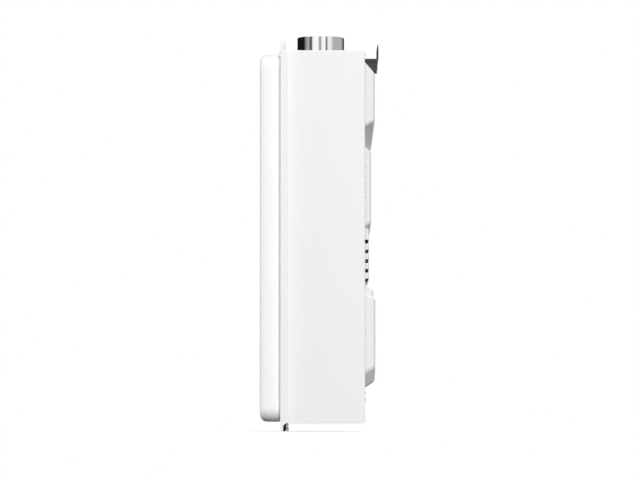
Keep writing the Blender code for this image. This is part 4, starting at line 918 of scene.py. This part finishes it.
for step in range(12):
    vent = block("vent", (16.0, 22.0), (-149.0, -145.8), (HANG - 1.1, HANG + 1.1))
    soften(vent, 0.8, 3)
    vent.data.transform(Matrix.Rotation(math.tau * step / 12, 4, "Y"))
    vent.data.transform(Matrix.Translation(Vector((FAN_X, 0.0, FAN_H - HANG)) / 1000))
    vents.append(vent)
combine(motor, gather(vents, "vents"))
ear_places = [(FAN_X + EAR_REACH * math.cos(turn), -122.9, FAN_H + EAR_REACH * math.sin(turn))
              for turn in (math.radians(90 + 120 * step) for step in range(3))]
ears = [turn_up("ear", ((0.0, -122.9), (4.6, -122.9), (5.0, -122.5), (5.0, -120.5), (0.0, -120.5)),
                (x, 0.0, h), "Y", 32) for x, y, h in ear_places]
fit(gather([motor] + ears, "motor_can"), BLACK, "fan_motor")
screws("motor_screws", 2.0, 1.4, "-y", ear_places)

# Gas train. A die-cast valve with two shut-off magnets and a modulating coil stands on the gas fitting,
# and a plated pipe feeds the manifold, which has a jet for each bar.
CASTING = finish("die_cast_alloy", "die_cast", (0.52, 0.53, 0.54), 0.44, metallic=0.85, drift=0.08,
                 spread=0.14, fine=1100.0, depth=0.05)
refine("gas_valve", "valve_body", 0.8, CASTING, angle=40.0)
screws("valve_screws", 2.0, 1.3, "-y", [(x, -113.0, h) for x in (-18.0, 18.0) for h in (74.0, 104.0)])
for node, name, height in (("safety_solenoid", "safety_magnet", 80.0),
                           ("main_solenoid", "main_magnet", 99.0)):
    magnet = turn_up(name, ((0.0, -113.3), (8.5, -113.3), (8.5, -116.0), (7.9, -116.4), (7.9, -134.6),
                            (8.5, -135.0), (8.5, -136.9), (8.0, -137.4), (5.4, -139.3), (5.0, -139.8),
                            (5.0, -141.9), (4.6, -142.3), (0.0, -142.3)), (0.0, 0.0, height), "Y", 48)
    fit(magnet, BRIGHT_SHEET, node)
spool = turn_up("tuning_coil", ((4.6, 28.3), (13.6, 28.3), (14.0, 28.7), (14.0, 30.6), (13.6, 31.0),
                                (12.5, 31.2), (12.5, 50.8), (13.6, 51.0), (14.0, 51.4), (14.0, 53.6),
                                (13.6, 54.0), (4.6, 54.0), (4.6, 28.3)), (0.0, FITTING_Y, 87.0), "X", 48)
fit(spool, BLACK, "modulating_coil")
refine("valve_plunger", "tuning_stem", 0.3, BRIGHT_SHEET, "plunger", 40.0)
pipe("gas_pipe", ((0.0, FITTING_Y, 120.3), (0.0, FITTING_Y, 154.0), (0.0, -144.4, 160.0),
                  (0.0, -144.4, 192.7)), 16.0, 5.2, GALVANISED, "gas_feed_pipe")
refine("gas_manifold", "jet_rail", 0.5, CASTING, angle=40.0)
screws("rail_screws", 2.2, 1.4, "-y", [(side * 89.5, -135.8, 214.5) for side in (-1, 1)])

# Guards. A spark electrode and a flame rod in white ceramic look into the chamber, a thermostat sits on
# the exchanger, and a pressure switch feels the fan's draught through a soft hose.
CERAMIC = finish("glazed_ceramic", "ceramic", (0.84, 0.82, 0.77), 0.22, drift=0.06, spread=0.08, depth=0.01,
                 coat=0.3)
wall = CORE_FRONT - 0.3
for node, name, x, reach in (("igniter_electrode", "spark_pin", -PORT_X, 24.0),
                             ("flame_rod", "flame_pin", PORT_X, 40.0)):
    pin = turn_up(name, ((0.0, wall - 14.0), (2.8, wall - 14.0), (3.2, wall - 13.6), (3.2, wall - 10.0),
                         (2.6, wall - 9.6), (2.6, wall - 8.6), (3.2, wall - 8.2), (3.2, wall - 2.0),
                         (7.7, wall - 2.0), (8.0, wall - 1.7), (8.0, wall), (3.4, wall), (3.4, wall + 7.4),
                         (2.8, wall + 8.0), (1.0, wall + 8.0), (1.0, wall + reach - 0.6),
                         (0.6, wall + reach), (0.0, wall + reach)), (x, 0.0, PORT_H), "Y", 32)
    fit(pin, CERAMIC, node)
refine("overheat_thermostat", "heat_guard", 0.3, BLACK, angle=40.0)
refine("pressure_switch", "draught_switch", 0.5, BLACK, angle=40.0)
HOSE = finish("silicone_hose", "foam", (0.20, 0.20, 0.21), 0.50, drift=0.08, spread=0.10, fine=1200.0,
              depth=0.01)
pipe("draught_hose", ((137.0, -64.3, 545.0), (137.0, -84.0, 545.0), (70.0, -95.0, 566.0),
                      (25.6, -95.0, 566.0)), 12.0, 2.6, HOSE, "pressure_hose")

# Electronics. A grey tray holds the control board with its relays, capacitors and plugs. The spark
# module is a sealed black block at the right.
refine("control_tray", "board_tray", 0.6, GREY, angle=40.0)
refine("spark_module", "spark_box", 0.8, BLACK, angle=40.0)
BOARD = finish("board_green", "board", (0.035, 0.20, 0.085), 0.34, drift=0.22, spread=0.14, fine=700.0,
               depth=0.03, coat=0.4)
ON_BOARD = -136.1
sheet = block("board", (-147.0, -47.0), (-136.6, -135.0), (45.0, 163.0))
soften(sheet, 0.3, 2)
posts = [rod("post", 2.5, -135.2, -129.9, (-97.0, 0.0, h), "Y", 24) for h in (60.0, 140.0)]
fit(gather([sheet] + posts, "board_sheet"), BOARD, "control_board")
relays = []
for x, y, h in (((-142.0, -112.0), -148.8, (50.0, 84.0)), ((-100.0, -82.0), -147.6, (52.0, 70.0)),
                ((-76.0, -58.0), -147.6, (52.0, 70.0)), ((-100.0, -80.0), -139.0, (104.0, 124.0))):
    relays.append(block("relay", x, (y, ON_BOARD), h))
    soften(relays[-1], 0.8, 3)
fit(gather(relays, "relays"), BLACK)
cans = [turn_up("can", ((0.0, ON_BOARD), (5.7, ON_BOARD), (6.0, -136.5), (6.0, -145.6), (5.7, -146.2),
                        (6.0, -146.8), (5.6, -147.6), (0.0, -147.4)), (x, 0.0, h), "Y", 32)
        for x, h in ((-132.0, 100.0), (-132.0, 120.0), (-64.0, 90.0))]
fit(gather(cans, "capacitors"), BRIGHT_SHEET)
IVORY = finish("ivory_plug", "grey_plastic", (0.78, 0.75, 0.66), 0.42, drift=0.06, spread=0.10, fine=1300.0)
strip = block("plug_row", (-136.0, -56.0), (-142.6, ON_BOARD), (150.0, 159.0))
soften(strip, 0.5, 3)
pin_ways = [block("pin_way", (x - 1.6, x + 1.6), (-145.0, -138.5), (152.0, 157.0))
            for x in range(-132, -56, 6)]
combine(strip, gather(pin_ways, "pin_ways"))
fit(strip, IVORY)

# Foam strip. A soft grey ring of foam rubber, cut from sheet and stuck to the front of the frame. The
# cover closes on it.
strip = rounded_block("foam_strip", (-144.0, 144.0), (30.7, 591.2), (-162.8, -159.4), 6.0)
combine(strip, rounded_block("inside", (-139.0, 139.0), (35.7, 586.2), (-170.0, -150.0), 3.0))
soften(strip, 0.9, 3, 50.0)
fit(strip, RUBBER, "cover_gasket")

# Front cover. A pan drawn from one steel sheet and coated white: round corners, a round nose, and an
# edge that rolls in just before the flange. A window is cut in it for the controls.
FACE = -192.2


def roll(piece, facing, inset, depth, steps):
    """Rounds the edge of an end face by small insets that each go a little deeper."""
    pick(piece, "FACE", lambda at, way: way.y * facing > 0.9)
    for step in range(steps):
        low_turn, high_turn = (math.pi / 2 * turn / steps for turn in (step, step + 1))
        bpy.ops.mesh.inset(thickness=inset / 1000 * (math.cos(low_turn) - math.cos(high_turn)),
                           depth=depth / 1000 * (math.sin(high_turn) - math.sin(low_turn)))


def pan_skin(name, thin):
    """The pan's outer skin, or with a thickness the one inside it."""
    nose, rolled, drop = 11.0 - thin, 3.0 - thin, 6.0 - thin
    skin = block(name, (thin - 159.0, 159.0 - thin), (FACE + thin + nose, -159.4 - thin - drop),
                 (15.7 + thin, 606.2 - thin))
    round_edges(skin, 22.0 - thin, 14, lambda at, way: abs(way.y) > 0.9)
    roll(skin, -1, nose, nose, 9)
    roll(skin, 1, rolled, drop, 6)
    take(skin)
    return skin


cover = pan_skin("drawn_cover", 0.0)
combine(cover, pan_skin("inside", 1.8))
combine(cover, rounded_block("mouth", (-151.0, 151.0), (23.7, 598.2), (-166.0, -150.0), 14.0, 10))
combine(cover, rounded_block("control_way", (-52.3, 52.3), (145.7, 190.3), (-196.0, -186.0), 8.0, 8))
fit(cover, WHITE_COAT, "front_cover", body="cover")

# Controls. A grey moulding fills the cover's window, with a smoked pane and three black keys that spring
# back. The keys carry plain printed signs: a power sign, and arrows for hotter and cooler.
KEY_H, KEY_STEP = 168.0, 8.5
bezel = rounded_block("control_frame", (-52.0, 52.0), (146.0, 190.0), (FACE, FACE + 12.0), 7.7, 8)
combine(bezel, rounded_block("pane_way", (-23.0, 23.0), (155.0, 181.0), (FACE - 2.0, FACE + 3.0), 3.0, 6))
wells = ((-38.0, KEY_H, 14.6, 14.6, 7.2), (38.0, KEY_H + KEY_STEP, 14.7, 12.6, 3.2),
         (38.0, KEY_H - KEY_STEP, 14.7, 12.6, 3.2))
for x, h, wide, tall, corner in wells:
    combine(bezel, rounded_block("well", (x - wide / 2, x + wide / 2), (h - tall / 2, h + tall / 2),
                                 (FACE - 2.0, FACE + 4.8), corner, 10))
soften(bezel, 0.35, 3, 50.0)
fit(bezel, GREY, "control_bezel", body="cover")
SMOKED = finish("smoked_pane", "smoked", (0.012, 0.013, 0.015), 0.07, spread=0.03, fine=400.0, depth=0.001,
                coat=0.6)
pane = rounded_block("pane", (-22.7, 22.7), (155.3, 180.7), (FACE + 0.2, FACE + 2.7), 2.7, 6)
soften(pane, 0.3, 3, 50.0)
fit(pane, SMOKED, "display_window", body="cover")
PRINT_Y = FACE + 0.14
PRINT = finish("white_print", "white_paint", (0.80, 0.80, 0.80), 0.50, drift=0.03, spread=0.06, depth=0.004)
for name, node, body, x, h, wide, tall, corner in (
    ("power_cap", "power_button", "power_key", -38.0, KEY_H, 14.0, 14.0, 6.9),
    ("hotter_cap", "temp_up_button", "temp_up_key", 38.0, KEY_H + KEY_STEP, 14.0, 12.0, 3.0),
    ("cooler_cap", "temp_down_button", "temp_down_key", 38.0, KEY_H - KEY_STEP, 14.0, 12.0, 3.0),
):
    cap = rounded_block(name, (x - wide / 2, x + wide / 2), (h - tall / 2, h + tall / 2),
                        (FACE + 0.8, FACE + 3.3), corner, 10)
    roll(cap, -1, 0.8, 0.6, 5)
    take(cap)
    fit(cap, BLACK, node, body=body)
    if body == "power_key":
        sign = turn_up("power_sign", ((2.1, 0.0), (2.7, 0.0), (2.7, 0.2), (2.1, 0.2), (2.1, 0.0)),
                       (x, PRINT_Y, h), "Y", 48)
        combine(sign, block("gap", (x - 0.8, x + 0.8), (FACE - 2.0, FACE + 2.0), (h + 1.0, h + 4.0)))
        sign = gather([sign, block("stroke", (x - 0.3, x + 0.3), (PRINT_Y, FACE + 0.34),
                                   (h + 0.8, h + 3.3))], "power_sign")
    else:
        way = 1 if body == "temp_up_key" else -1
        sign = rod(f"{name}_sign", 2.6, 0.0, 0.2, (0.0, 0.0, HANG), "Y", 3)
        sign.data.transform(Matrix.Rotation(-way * math.pi / 2, 4, "Y"))
        sign.data.transform(Matrix.Translation(mm(x, PRINT_Y, h)))
    fit(sign, PRINT, body=body)

# The box round every piece that is shown, the floor and the flag ring left out, is found.
low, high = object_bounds()
